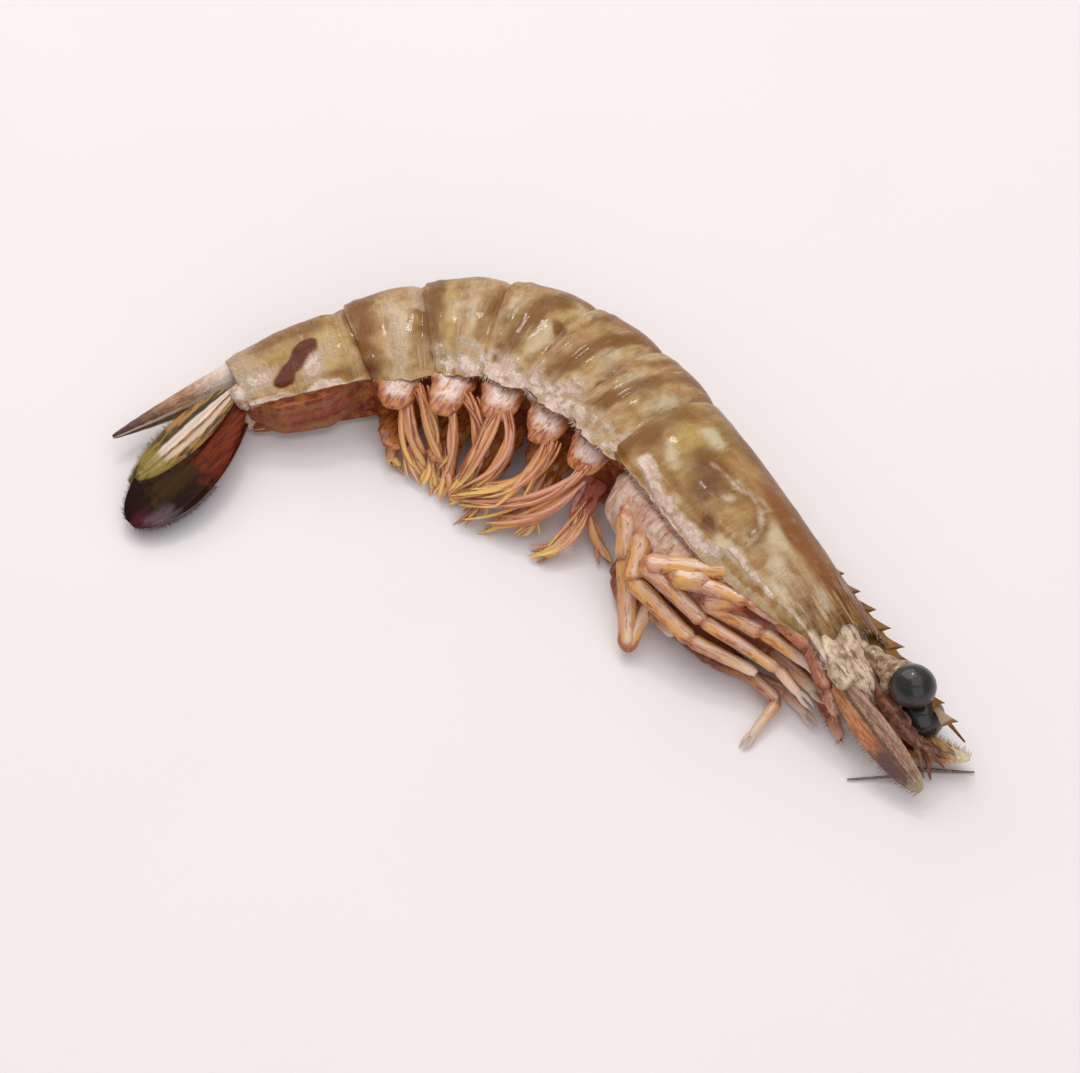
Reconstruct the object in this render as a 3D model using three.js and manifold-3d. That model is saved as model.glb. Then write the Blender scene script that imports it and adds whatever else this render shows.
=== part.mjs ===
// A raw banded shrimp, whole and uncooked, lying on its left side with the tail curled.
// Millimetres, +Z up. The origin is the middle of the floor under it: +X runs from the tail fan
// to the head, +Y towards the back, and the floor is z = 0.
import * as THREE from "three";
import { mergeVertices } from "three/addons/utils/BufferGeometryUtils.js";
import Module from "manifold-3d";

const wasm = await Module();
wasm.setup();

// ---------------------------------------------------------------- driving dimensions
const GAP = 0.3; // clear space left between pieces that touch

const CARAPACE_LENGTH = 48; // eye socket to the rear edge of the head shell
const HEAD_HEADING = -33; // degrees, direction of the head in the floor plane
const NECK = [9.0, 9.6]; // where the middle line passes from the head shell to the tail
const FLOOR_CENTRE = [0.24, 1.72]; // shift that puts the middle of the whole over the origin

// Tail segments from the head backwards: length along the middle line and the bend over it.
const TAIL_SEGMENTS = [
  { length: 11.5, bend: 7 },
  { length: 12, bend: 12 },
  { length: 12, bend: 21 },
  { length: 12, bend: 22 },
  { length: 12.5, bend: 12 },
  { length: 21, bend: 8 },
];
const TELSON = { length: 25, bend: 8 };

// Body profile: distance s behind the eye socket, height of the back above the middle line,
// depth of the shell's lower edge below it, half the thickness from flank to flank, and the
// height of the middle plane over the floor.
const PROFILE = [
  { s: -22, back: 11.5, edge: 0.0, half: 3.0, mid: 7.4 },
  { s: 0, back: 11.6, edge: -0.6, half: 5.6, mid: 7.6 },
  { s: 10, back: 11.8, edge: 3.4, half: 7.6, mid: 8.2 },
  { s: 24, back: 12.2, edge: 7.6, half: 9.2, mid: 8.8 },
  { s: 38, back: 12.4, edge: 8.6, half: 9.7, mid: 9.2 },
  { s: 48, back: 12.2, edge: 8.6, half: 9.4, mid: 9.1 },
  { s: 60, back: 12.0, edge: 9.6, half: 9.1, mid: 8.7 },
  { s: 72, back: 11.6, edge: 10.6, half: 8.7, mid: 8.3 },
  { s: 84, back: 11.0, edge: 11.0, half: 8.2, mid: 7.8 },
  { s: 96, back: 10.0, edge: 10.6, half: 7.5, mid: 7.1 },
  { s: 108, back: 8.8, edge: 9.4, half: 6.7, mid: 6.4 },
  { s: 120, back: 7.4, edge: 7.6, half: 5.8, mid: 5.6 },
  { s: 129, back: 6.0, edge: 6.0, half: 4.6, mid: 4.9 },
  { s: 136, back: 4.5, edge: 4.0, half: 3.4, mid: 4.4 },
];

// ---------------------------------------------------------------- the body's middle line
const radians = THREE.MathUtils.degToRad;
const NECK_S = CARAPACE_LENGTH;

// Arcs of the middle line, each starting at s with a heading and a bend for each millimetre.
const arcs = [];
{
  let s = NECK_S;
  let heading = HEAD_HEADING;
  let [x, y] = NECK;
  for (const { length, bend } of [...TAIL_SEGMENTS, TELSON]) {
    arcs.push({ s, length, x, y, heading, turn: bend / length });
    const steps = 40;
    for (let i = 0; i < steps; i++) {
      const a = radians(heading + ((i + 0.5) * bend) / steps);
      x -= (Math.cos(a) * length) / steps;
      y -= (Math.sin(a) * length) / steps;
    }
    heading += bend;
    s += length;
  }
}

// Point, forward direction and dorsal direction of the middle line at s, in the floor plane.
function spineAt(s) {
  if (s <= NECK_S) {
    const a = radians(HEAD_HEADING);
    const d = NECK_S - s;
    return {
      x: NECK[0] + d * Math.cos(a),
      y: NECK[1] + d * Math.sin(a),
      heading: a,
    };
  }
  const arc = arcs.findLast((each) => each.s <= s);
  const d = s - arc.s;
  const a0 = radians(arc.heading);
  const a1 = radians(arc.heading + arc.turn * d);
  const k = radians(arc.turn);
  return {
    x: arc.x - (Math.sin(a1) - Math.sin(a0)) / k,
    y: arc.y + (Math.cos(a1) - Math.cos(a0)) / k,
    heading: a1,
  };
}

// Smooth value of a profile column at s.
function profileAt(s, key) {
  const last = PROFILE.length - 1;
  if (s <= PROFILE[0].s) return PROFILE[0][key];
  if (s >= PROFILE[last].s) return PROFILE[last][key];
  const i = PROFILE.findLastIndex((row) => row.s <= s);
  const row = (j) => PROFILE[Math.min(last, Math.max(0, j))];
  const [p0, p1, p2, p3] = [row(i - 1), row(i), row(i + 1), row(i + 2)];
  const span = p2.s - p1.s;
  const t = (s - p1.s) / span;
  const m1 = ((p2[key] - p0[key]) / (p2.s - p0.s || 1)) * span;
  const m2 = ((p3[key] - p1[key]) / (p3.s - p1.s || 1)) * span;
  const t2 = t * t;
  const t3 = t2 * t;
  return (
    (2 * t3 - 3 * t2 + 1) * p1[key] +
    (t3 - 2 * t2 + t) * m1 +
    (3 * t2 - 2 * t3) * p2[key] +
    (t3 - t2) * m2
  );
}

// A point s behind the eye socket, up towards the back, at height z over the floor.
function place(s, up, z) {
  const at = spineAt(s);
  return new THREE.Vector3(
    at.x - Math.sin(at.heading) * up,
    at.y + Math.cos(at.heading) * up,
    z,
  );
}

// The same with the height given from the middle plane, positive towards the right flank.
const placeSide = (s, up, side) => place(s, up, profileAt(s, "mid") + side);

// ---------------------------------------------------------------- solids
// Closed solid through rings of points that all run the same way round.
function loft(rings) {
  const count = rings[0].length;
  const points = rings.flat();
  const faces = [];
  for (let i = 0; i < rings.length - 1; i++) {
    for (let j = 0; j < count; j++) {
      const a = i * count + j;
      const b = i * count + ((j + 1) % count);
      faces.push([a, b, b + count], [a, b + count, a + count]);
    }
  }
  const last = (rings.length - 1) * count;
  faces.push(...capFaces(rings[0]).map(([a, b, c]) => [c, b, a]));
  faces.push(...capFaces(rings.at(-1)).map((face) => face.map((v) => v + last)));
  return outward(points, faces);
}

// Triangles over a ring of points, counter-clockwise about the ring's own direction.
function capFaces(ring) {
  const normal = new THREE.Vector3();
  const centre = new THREE.Vector3();
  ring.forEach((p, i) => {
    normal.add(new THREE.Vector3().crossVectors(p, ring[(i + 1) % ring.length]));
    centre.addScaledVector(p, 1 / ring.length);
  });
  normal.normalize();
  const across = new THREE.Vector3().subVectors(ring[0], centre).cross(normal).normalize();
  const along = new THREE.Vector3().crossVectors(normal, across);
  const flat = ring.map((p) => {
    const d = new THREE.Vector3().subVectors(p, centre);
    return new THREE.Vector2(d.dot(across), d.dot(along));
  });
  return THREE.ShapeUtils.triangulateShape(flat, []);
}

// Geometry of a closed surface, turned so that its faces point out.
function outward(points, faces) {
  let volume = 0;
  for (const [a, b, c] of faces) {
    const cross = new THREE.Vector3().crossVectors(points[b], points[c]);
    volume += points[a].dot(cross);
  }
  const index = faces.flatMap(([a, b, c]) => (volume < 0 ? [c, b, a] : [a, b, c]));
  const geometry = new THREE.BufferGeometry();
  geometry.setAttribute(
    "position",
    new THREE.Float32BufferAttribute(points.flatMap((p) => [p.x, p.y, p.z]), 3),
  );
  geometry.setIndex(index);
  return geometry;
}

// Manifold solid of a closed geometry, and back.
function solid(geometry) {
  const bare = geometry.clone();
  bare.deleteAttribute("normal");
  bare.deleteAttribute("uv");
  const merged = mergeVertices(bare, 1e-4);
  return new wasm.Manifold(
    new wasm.Mesh({
      numProp: 3,
      vertProperties: new Float32Array(merged.attributes.position.array),
      triVerts: new Uint32Array(merged.index.array),
    }),
  );
}

function geometryOf(manifold) {
  const mesh = manifold.getMesh();
  const geometry = new THREE.BufferGeometry();
  geometry.setAttribute("position", new THREE.BufferAttribute(mesh.vertProperties, 3));
  geometry.setIndex(new THREE.BufferAttribute(mesh.triVerts, 1));
  geometry.computeVertexNormals();
  return geometry;
}

// ---------------------------------------------------------------- shell sections
const SHELL_LIP = 1.1; // thickness of the shell's lower edge
const BELLY_RECESS = 3.0; // how far the belly lies above that edge
const EDGE_TUCK = 0.8; // how far the lower edges lean in, as a share of the half thickness
const BACK_STEPS = 7; // faces from the back's ridge down to the widest line of a flank
const FLANK_SHARES = [0.45, 0.85, 1]; // rows below that line, as shares of the edge's depth

// Outside of the right half at s, from the ridge to the lower edge, as [up, side] points.
// scale grows it and drop lengthens the hanging edge.
function flank(s, scale, drop) {
  const back = profileAt(s, "back") * scale;
  const half = profileAt(s, "half") * scale;
  const edge = profileAt(s, "edge") + drop;
  const points = [];
  for (let i = 0; i <= BACK_STEPS; i++) {
    const a = (i / BACK_STEPS) * (Math.PI / 2);
    points.push([back * Math.cos(a) ** 0.92, half * Math.sin(a) ** 0.86]);
  }
  for (const t of FLANK_SHARES) {
    points.push([-edge * t, half * (1 - (1 - EDGE_TUCK) * t * t)]);
  }
  return points;
}

// Inside of the lower edge and the belly between the edges, right half, inset by the given gap.
function belly(s, drop, inset = 0) {
  const edge = profileAt(s, "edge") + drop;
  const edgeSide = profileAt(s, "half") * EDGE_TUCK;
  return [
    [-edge + 0.25, edgeSide - SHELL_LIP - inset],
    [-edge + BELLY_RECESS - inset, edgeSide - SHELL_LIP - 0.5 - inset],
    [-edge + BELLY_RECESS - 0.7 - inset, edgeSide * 0.42],
  ];
}

// Shell between two margins. Each station has a share of the way from the front margin to the
// rear one, a growth of the outside and a drop of the hanging edges; the margins give s for a
// share g of the way round from the ridge to the lower edge.
function shell(front, rear, stations) {
  const count = BACK_STEPS + FLANK_SHARES.length;
  const rings = stations.map(({ share, scale, drop }) => {
    const sAt = (j) => THREE.MathUtils.lerp(front(j / count), rear(j / count), share);
    const right = [];
    for (let j = 0; j <= count; j++) right.push([sAt(j), ...flank(sAt(j), scale, drop)[j]]);
    for (const point of belly(sAt(count), drop)) right.push([sAt(count), ...point]);
    const left = right.slice(1).reverse().map(([s, up, side]) => [s, up, -side]);
    return [...right, ...left].map(([s, up, side]) => placeSide(s, up, side));
  });
  return solid(loft(rings));
}

// ---------------------------------------------------------------- limb and leaf shapes
const LIMB_SIDES = 6;
// Share of an article's length and of its radius at each ring along it.
const ARTICLE_RINGS = [
  [0, 0.6],
  [0.2, 1],
  [0.8, 0.88],
  [1, 0.45],
];

// Two unit vectors square to a direction, the first as near as it can be to the wanted one.
function sideways(direction, wanted) {
  const first = wanted.clone().addScaledVector(direction, -wanted.dot(direction)).normalize();
  return [first, new THREE.Vector3().crossVectors(direction, first)];
}

// One straight article of a limb, slightly flattened, with rounded ends.
function article(from, to, radius, flat) {
  const direction = new THREE.Vector3().subVectors(to, from);
  const length = direction.length();
  direction.normalize();
  const [thin, wide] = sideways(direction, new THREE.Vector3(0.11, 0.07, 1));
  const rings = ARTICLE_RINGS.map(([along, share]) => {
    const ring = [];
    for (let i = 0; i < LIMB_SIDES; i++) {
      const a = ((i + 0.5) / LIMB_SIDES) * Math.PI * 2;
      ring.push(
        from
          .clone()
          .addScaledVector(direction, along * length)
          .addScaledVector(wide, Math.cos(a) * radius * share)
          .addScaledVector(thin, Math.sin(a) * radius * share * flat),
      );
    }
    return ring;
  });
  return solid(loft(rings));
}

// Articles joined end to end: joints are the places and radii the article of each stretch.
function limb(joints, radii, flat = 0.85) {
  const parts = radii.map((radius, i) => {
    const reach = new THREE.Vector3().subVectors(joints[i + 1], joints[i]).setLength(radius / 2);
    return article(joints[i].clone().sub(reach), joints[i + 1].clone().add(reach), radius, flat);
  });
  return wasm.Manifold.union(parts);
}

// Share of the full width at t along a leaf that starts narrow and ends round.
function leafWidth(t, root, widest) {
  if (t < widest) return root + (1 - root) * Math.sin((t / widest) * (Math.PI / 2));
  return Math.sqrt(Math.max(0, 1 - ((t - widest) / (1 - widest)) ** 2));
}

// Section of a leaf as shares of its half width and half thickness, with a keel on top.
const leafSection = (keel) => [
  [1, 0],
  [0.5, 0.8],
  [0, 1 + keel],
  [-0.5, 0.79],
  [-1, 0.02],
  [0, -1],
];

// Thin leaf along a curve, with its face along normal. width and thickness are full sizes and
// keel raises the middle line of its upper face.
function leaf({ path, normal, width, thickness, root, widest, keel = 0, steps = 8 }) {
  const curve = new THREE.QuadraticBezierCurve3(...path);
  const rings = [];
  for (let i = 0; i <= steps; i++) {
    const t = 0.002 + 0.985 * (1 - (1 - i / steps) ** 1.35);
    const [up, across] = sideways(curve.getTangent(t), normal);
    const share = leafWidth(t, root, widest);
    const halfWidth = (width / 2) * share;
    const half = (thickness / 2) * (0.45 + 0.55 * share);
    const centre = curve.getPoint(t);
    rings.push(
      leafSection(keel).map(([a, b]) =>
        centre.clone().addScaledVector(across, a * halfWidth).addScaledVector(up, b * half),
      ),
    );
  }
  return solid(loft(rings));
}

// ---------------------------------------------------------------- assembly
const shrimp = new THREE.Group();
shrimp.name = "raw_shrimp";
shrimp.position.set(...FLOOR_CENTRE, 0);

const FLOOR = solid(new THREE.BoxGeometry(400, 400, 40).translate(0, 0, -20));
const CORNER = 1.5; // growth over the gap that keeps it at rounded corners too
const taken = []; // every node so far: its solid, the room it takes with the gap, and its box
const SIDES = [
  ["right", 1],
  ["left", -1],
];

const MATERIALS = {
  shell: { color: 0x9d8a68, roughness: 0.38 },
  flesh: { color: 0xc58a70, roughness: 0.5 },
  eye: { color: 0x0c0b0d, roughness: 0.12 },
  scale: { color: 0x9a5a34, roughness: 0.4 },
  leg: { color: 0xd08a5c, roughness: 0.42 },
  pleopod: { color: 0xc9702e, roughness: 0.5 },
  tail: { color: 0x4a1f16, roughness: 0.32 },
};

// The solid with every corner moved out along its own normal.
function grown(body) {
  const geometry = geometryOf(body);
  const { position, normal } = geometry.attributes;
  const step = GAP * CORNER;
  for (let i = 0; i < position.count; i++) {
    const x = position.getX(i) + normal.getX(i) * step;
    const y = position.getY(i) + normal.getY(i) * step;
    const z = position.getZ(i) + normal.getZ(i) * step;
    position.setXYZ(i, x, y, z);
  }
  return solid(geometry);
}

// The largest part of a solid once it is kept the gap clear of every earlier node.
function fitted(whole) {
  const { min, max } = whole.boundingBox();
  const box = new THREE.Box3(new THREE.Vector3(...min), new THREE.Vector3(...max));
  let free = whole;
  for (const other of taken) {
    if (other.box.intersectsBox(box)) free = free.subtract(other.room).subtract(other.body);
  }
  return free.decompose().reduce((a, b) => (a.volume() > b.volume() ? a : b));
}

// Adds a node, cut at the floor.
function add(name, material, whole) {
  const body = whole.subtract(FLOOR);
  const room = grown(body);
  const { min, max } = room.boundingBox();
  const box = new THREE.Box3(new THREE.Vector3(...min), new THREE.Vector3(...max));
  taken.push({ body, room, box });
  const mesh = new THREE.Mesh(
    geometryOf(body),
    new THREE.MeshStandardMaterial({ metalness: 0, ...MATERIALS[material] }),
  );
  mesh.name = name;
  shrimp.add(mesh);
}

// ---------------------------------------------------------------- head shell and beak
// Front margin of the head shell as [share of the way round, s]: forward at the beak, back round
// the eye socket, forward at the spine below it and back again at the lower corner.
const SOCKET = [
  [0, -1.5],
  [0.25, 0.8],
  [0.45, 2.8],
  [0.6, 1.2],
  [0.7, -1.6],
  [0.82, 1.5],
  [1, 4.5],
];
function socketMargin(g) {
  const i = Math.max(1, SOCKET.findIndex(([share]) => share >= g));
  const [g0, s0] = SOCKET[i - 1];
  const [g1, s1] = SOCKET[i];
  return THREE.MathUtils.lerp(s0, s1, THREE.MathUtils.smoothstep(g, g0, g1));
}

const ROSTRUM = { rear: 21, tip: -22, width: 1.5, depth: 3.4, teeth: 9, tooth: 1.5 };
const ROSTRUM_UNDER_TEETH = [-12, -17]; // s of the two teeth on its lower edge

// The beak: a narrow toothed blade that starts as a crest on the head shell. Its outline is drawn
// as s and up, and the extruded blade is then bent to the body and thinned to the tip.
function rostrum() {
  const { rear, tip, width, depth, teeth, tooth } = ROSTRUM;
  const top = (s) => profileAt(s, "back") + 0.9 - Math.max(0, (s - 4) / (rear - 4)) * 1.6;
  const bottom = (s) => {
    const t = THREE.MathUtils.clamp((s - tip) / -tip, 0, 1);
    return profileAt(s, "back") + 0.6 - depth * t ** 0.8 - (s > 0 ? 1 : 0);
  };
  const outline = new THREE.Shape();
  outline.moveTo(rear, top(rear) - 1.5);
  for (let i = 0; i <= teeth; i++) {
    const s = THREE.MathUtils.lerp(rear - 3, tip + 4, i / teeth);
    const height = tooth * (0.75 + 0.25 * Math.sin((i / teeth) * Math.PI));
    outline.lineTo(s + 2.6, top(s + 2.6));
    outline.lineTo(s, top(s) + height);
    outline.lineTo(s + 0.3, top(s + 0.3));
  }
  outline.lineTo(tip, top(tip) - 0.2);
  for (const s of [...ROSTRUM_UNDER_TEETH].reverse()) {
    outline.lineTo(s - 0.2, bottom(s));
    outline.lineTo(s - 1, bottom(s) - 0.9);
    outline.lineTo(s + 1.6, bottom(s + 1.6));
  }
  const steps = 8;
  for (let i = 0; i <= steps; i++) {
    const s = THREE.MathUtils.lerp(-9, rear, i / steps);
    outline.lineTo(s, bottom(s));
  }
  const blade = new THREE.ExtrudeGeometry(outline, { depth: width, bevelEnabled: false, steps: 1 });
  const position = blade.attributes.position;
  for (let i = 0; i < position.count; i++) {
    const s = position.getX(i);
    const thin = THREE.MathUtils.clamp((s - tip) / 30, 0.35, 1);
    const side = (position.getZ(i) - width / 2) * thin;
    const p = placeSide(s, position.getY(i), -side);
    position.setXYZ(i, p.x, p.y, p.z);
  }
  return solid(blade);
}

const HEAD_STATIONS = 9;
const headStations = [];
for (let i = 0; i <= HEAD_STATIONS; i++) {
  headStations.push({ share: i / HEAD_STATIONS, scale: 1, drop: 0 });
}
const headShell = shell(socketMargin, () => NECK_S - GAP / 2, headStations);
add("carapace", "shell", headShell.add(rostrum()));

// ---------------------------------------------------------------- tail segments
const LOBE = 1.7; // how far the side lobe of each shell hangs below its ends
const REAR_STEP = 0.05; // how much the rear rim stands out over the next shell, as a share
const SWIMMING_SEGMENTS = 5; // segments that carry swimming legs and side lobes
const segmentStarts = [];
TAIL_SEGMENTS.reduce((s, { length }) => {
  segmentStarts.push(s);
  return s + length;
}, NECK_S);
const TAIL_S = segmentStarts.at(-1) + TAIL_SEGMENTS.at(-1).length;

TAIL_SEGMENTS.forEach(({ length }, i) => {
  const from = segmentStarts[i] + GAP / 2;
  const to = segmentStarts[i] + length - GAP / 2;
  const lobe = i < SWIMMING_SEGMENTS ? LOBE : 0.3;
  const stations = [0, 0.25, 0.5, 0.75, 1].map((share) => ({
    share,
    scale: 1 - REAR_STEP + REAR_STEP * Math.min(1, share * 2.5),
    drop: lobe * Math.sin(Math.PI * share) ** 0.7,
  }));
  add(`segment_${i + 1}`, "shell", shell(() => from, () => to, stations));
});

// ---------------------------------------------------------------- thorax under the head shell
const THORAX = { front: 8, rear: 46, keel: 13.6, half: 4.0 };
{
  const rings = [];
  const steps = 7;
  for (let i = 0; i <= steps; i++) {
    const t = i / steps;
    const s = THREE.MathUtils.lerp(THORAX.front, THORAX.rear, t);
    const edge = profileAt(s, "edge");
    const depth = THREE.MathUtils.lerp(edge + 1, THORAX.keel, Math.sin(t * Math.PI * 0.62));
    const [, ceiling, middle] = belly(s, 0, GAP);
    const half = THORAX.half * (0.75 + 0.25 * Math.sin(t * Math.PI));
    const right = [
      middle,
      [ceiling[0] - 0.2, Math.min(ceiling[1], half + 1.4)],
      [-edge + 0.2, half + 0.6],
      [-(edge + depth) / 2, half],
      [-depth + 0.7, half * 0.7],
      [-depth, half * 0.25],
    ];
    const left = [...right].reverse().map(([up, side]) => [up, -side]);
    rings.push([...right, ...left].map(([up, side]) => placeSide(s, up, side)));
  }
  add("thorax", "flesh", fitted(solid(loft(rings))));
}

// ---------------------------------------------------------------- front of the head and eyes
// Rings of the core in front of the socket: s, top, bottom and half thickness.
const HEAD_CORE = [
  [1.2, 9.2, 0.6, 4.4],
  [-2, 9.0, 0.4, 4.2],
  [-5.5, 8.2, 0.8, 3.4],
  [-8, 7.2, 2.0, 2.2],
];
const CORE_SIDES = 12;
const coreRings = HEAD_CORE.map(([s, top, bottom, half]) => {
  const ring = [];
  for (let i = 0; i < CORE_SIDES; i++) {
    const a = (i / CORE_SIDES) * Math.PI * 2;
    const up = (top + bottom) / 2 + ((top - bottom) / 2) * Math.cos(a);
    ring.push(placeSide(s, up, half * Math.sin(a)));
  }
  return ring;
});
add("head", "flesh", fitted(solid(loft(coreRings))));

// Eye centres as s, up and height over the floor, and half lengths along and across the head.
const EYES = {
  right: { s: -12, up: 9.3, z: 12.1, radii: [4.3, 3.8, 3.8] },
  left: { s: -13.2, up: 10.9, z: 4.5, radii: [4.2, 3.7, 3.7] },
};
for (const [name, sign] of SIDES) {
  const { s, up, z, radii } = EYES[name];
  const ball = new THREE.SphereGeometry(1, 12, 8);
  const centre = place(s, up, z);
  ball.scale(...radii).rotateZ(radians(HEAD_HEADING)).translate(centre.x, centre.y, centre.z);
  add(`eye_${name}`, "eye", fitted(solid(ball)));
  const root = placeSide(-3, 8.0, sign * 2.6);
  const end = place(s + 2, up - 0.6, z - sign * 0.8);
  add(`eyestalk_${name}`, "flesh", fitted(limb([root, end], [2.0])));
}

// ---------------------------------------------------------------- feelers and their scales
// Unit vector leaning from the vertical towards the back of the head.
function leaning(towardsBack, upward) {
  const a = radians(HEAD_HEADING);
  return new THREE.Vector3(-Math.sin(a) * towardsBack, Math.cos(a) * towardsBack, upward);
}

const ANTENNAE = {
  right: {
    base: [placeSide(2, 1.8, 4.0), placeSide(-2, 1.7, 3.8), placeSide(-6, 1.8, 3.0)],
    scale: [place(-4, 0.9, 9.6), place(-14, 1.0, 8.0), place(-24.0, 3.3, 3.4)],
    face: leaning(-0.6, 0.8),
    antennule: [place(-7, 6.2, 8.8), place(-12.5, 5.8, 8.0), place(-17.5, 6.4, 6.0)],
    whip: place(-21.6, 5.2, 2.4),
  },
  left: {
    base: [placeSide(2, 1.8, -4.0), placeSide(-2, 1.9, -3.8), placeSide(-6, 2.6, -3.6)],
    scale: [place(-4, 3.6, 3.0), place(-14, 4.6, 1.2), place(-23.0, 12.8, 3.4)],
    face: leaning(0.1, 1),
    antennule: [place(-7, 6.2, 5.6), place(-12.5, 6.6, 4.4), place(-17.5, 8.0, 3.6)],
    whip: place(-21.4, 9.8, 2.8),
  },
};
for (const [name] of SIDES) {
  const { base, scale, face, antennule, whip } = ANTENNAE[name];
  const blade = leaf({
    path: scale,
    normal: face,
    width: 6.6,
    thickness: 1.0,
    root: 0.55,
    widest: 0.52,
    keel: 0.3,
  });
  add(`antennal_scale_${name}`, "scale", fitted(blade));
  add(`antenna_base_${name}`, "flesh", fitted(limb(base, [2.1, 1.9])));
  add(`antennule_${name}`, "scale", fitted(limb([...antennule, whip], [1.6, 1.3, 0.6])));
}

// ---------------------------------------------------------------- walking legs
// Joints of each leg as [s, up, z] from the body to the tip, front leg first.
const LEGS = {
  right: [
    [[15, -5.8, 13.0], [19.0, -9.6, 11.4], [9.6, -4.4, 10.4], [1.0, -0.6, 8.8]],
    [[20, -8.0, 14.2], [24.4, -12.2, 13.6], [13.8, -4.2, 14.0], [4.6, 0.0, 12.0]],
    [[19.2, -4.0, 15.2], [28.8, -14.4, 13.2], [16.8, -10.8, 9.6], [4.6, -4.8, 6.8], [-1, -3.8, 5.4]],
    [[33, -12.0, 13.6], [29.0, -16.4, 9.6], [16.4, -13.4, 6.8], [6.6, -7.4, 5.2]],
    [[38, -11.8, 13.8], [33.4, -14.8, 9.0], [22.8, -21.4, 1.8], [26.8, -14.6, 5.2]],
  ],
  left: [
    [[14, -5.4, 3.6], [18.6, -8.6, 4.2], [9, -3.2, 5.6], [-1, -1.2, 4.8]],
    [[20, -9.2, 3.6], [24, -12.4, 4.6], [12, -8.4, 3.4], [2.0, -6.4, 2.4], [-0.6, -13, 0.9]],
    [[26, -11.6, 2.8], [28.6, -14.2, 2.4], [14.6, -10.6, 1.3], [3.4, -4.0, 1.5], [-2, -3.6, 1.3]],
    [[32, -12, 3.0], [30, -15.4, 4.2], [20, -14.0, 4.4]],
    [[37, -12, 3.0], [35, -15.6, 2.4], [28.8, -17.6, 1.4], [27.0, -13.2, 1.2]],
  ],
};
const LEG_RADII = [1.4, 1.25, 1.0, 0.65]; // of the articles from the body to the tip
const onBody = ([s, up, z]) => place(s, up, z);
for (const [name] of SIDES) {
  for (const i of [2, 1, 0, 3, 4]) {
    const joints = LEGS[name][i];
    const radii = LEG_RADII.slice(0, joints.length - 1);
    add(`leg_${name}_${i + 1}`, "leg", fitted(limb(joints.map(onBody), radii)));
  }
}
const MAXILLIPEDS = {
  right: [[9, -1.8, 12.4], [2.6, 0.0, 12.2], [-3.4, -1.0, 8.4], [-7.0, -1.4, 6.0]],
  left: [[9, -2.6, 3.6], [2, 0.2, 2.8], [-4.4, -0.6, 2.0], [-8.6, -1.4, 1.6]],
};
for (const [name] of SIDES) {
  const joints = MAXILLIPEDS[name].map(onBody);
  add(`maxilliped_${name}`, "leg", fitted(limb(joints, [1.5, 1.4, 1.0])));
}

// ---------------------------------------------------------------- tail fan
const at = ([x, y, z]) => new THREE.Vector3(x, y, z);
const TELSON_SHAPE = {
  root: [-60.4, 0.4],
  tip: [-75.6, -21.6, 3.6],
  half: 4.2,
  deep: 2.6,
};
// Section of the telson as shares of its depth and half width, with the groove on its back.
const TELSON_SECTION = [
  [0.62, 0],
  [0.95, 0.38],
  [0.5, 0.82],
  [-0.3, 1],
  [-1, 0.4],
  [-1, -0.42],
  [-0.3, -1],
  [0.5, -0.83],
  [0.96, -0.38],
];
{
  const { root, tip, half, deep } = TELSON_SHAPE;
  const from = new THREE.Vector3(...root, profileAt(TAIL_S, "mid"));
  const direction = new THREE.Vector3().subVectors(at(tip), from).normalize();
  const [backward, across] = sideways(direction, new THREE.Vector3(-0.7, 0.5, 0));
  const rings = [0, 0.18, 0.42, 0.68, 0.88, 0.985].map((t) =>
    TELSON_SECTION.map(([u, v]) =>
      from
        .clone()
        .lerp(at(tip), t)
        .addScaledVector(backward, u * (deep * (1 - t) ** 0.7 + 0.4))
        .addScaledVector(across, v * (half * (1 - t) ** 0.8 + 0.35)),
    ),
  );
  add("telson", "tail", fitted(solid(loft(rings))));
}

// Base and the paths of the outer and inner blades of each side, with the way their faces look.
const UROPODS = {
  right: {
    base: [[-57.4, -4.8, 8.0], [-59.2, -9.2, 7.4]],
    exopod: [[-59.6, -10.2, 6.8], [-59.6, -22, 5.6], [-64.8, -34.9, 2.6]],
    endopod: [[-61.2, -9.2, 8.2], [-62.4, -18, 8.0], [-67.2, -28.2, 5.2]],
    face: [0.12, -0.1, 1],
  },
  left: {
    base: [[-57.4, -4.8, 2.4], [-58.8, -9.0, 2.4]],
    exopod: [[-60.4, -10.2, 2.9], [-61.2, -20, 2.2], [-64.6, -33.4, 1.0]],
    endopod: [[-61.4, -9.4, 1.6], [-63.4, -18, 1.0], [-69.6, -27.0, 0.9]],
    face: [0, -0.05, 1],
  },
};
for (const [name] of SIDES) {
  const { base, exopod, endopod, face } = UROPODS[name];
  add(`uropod_base_${name}`, "tail", fitted(limb(base.map(at), [2.3])));
  const outer = leaf({
    path: exopod.map(at),
    normal: at(face),
    width: 11.4,
    thickness: 1.5,
    root: 0.42,
    widest: 0.6,
    keel: 0.5,
    steps: 10,
  });
  add(`uropod_exopod_${name}`, "tail", fitted(outer));
  const inner = leaf({
    path: endopod.map(at),
    normal: at(face),
    width: 6.4,
    thickness: 1.2,
    root: 0.45,
    widest: 0.5,
    keel: 0.8,
  });
  add(`uropod_endopod_${name}`, "tail", fitted(inner));
}

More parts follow.
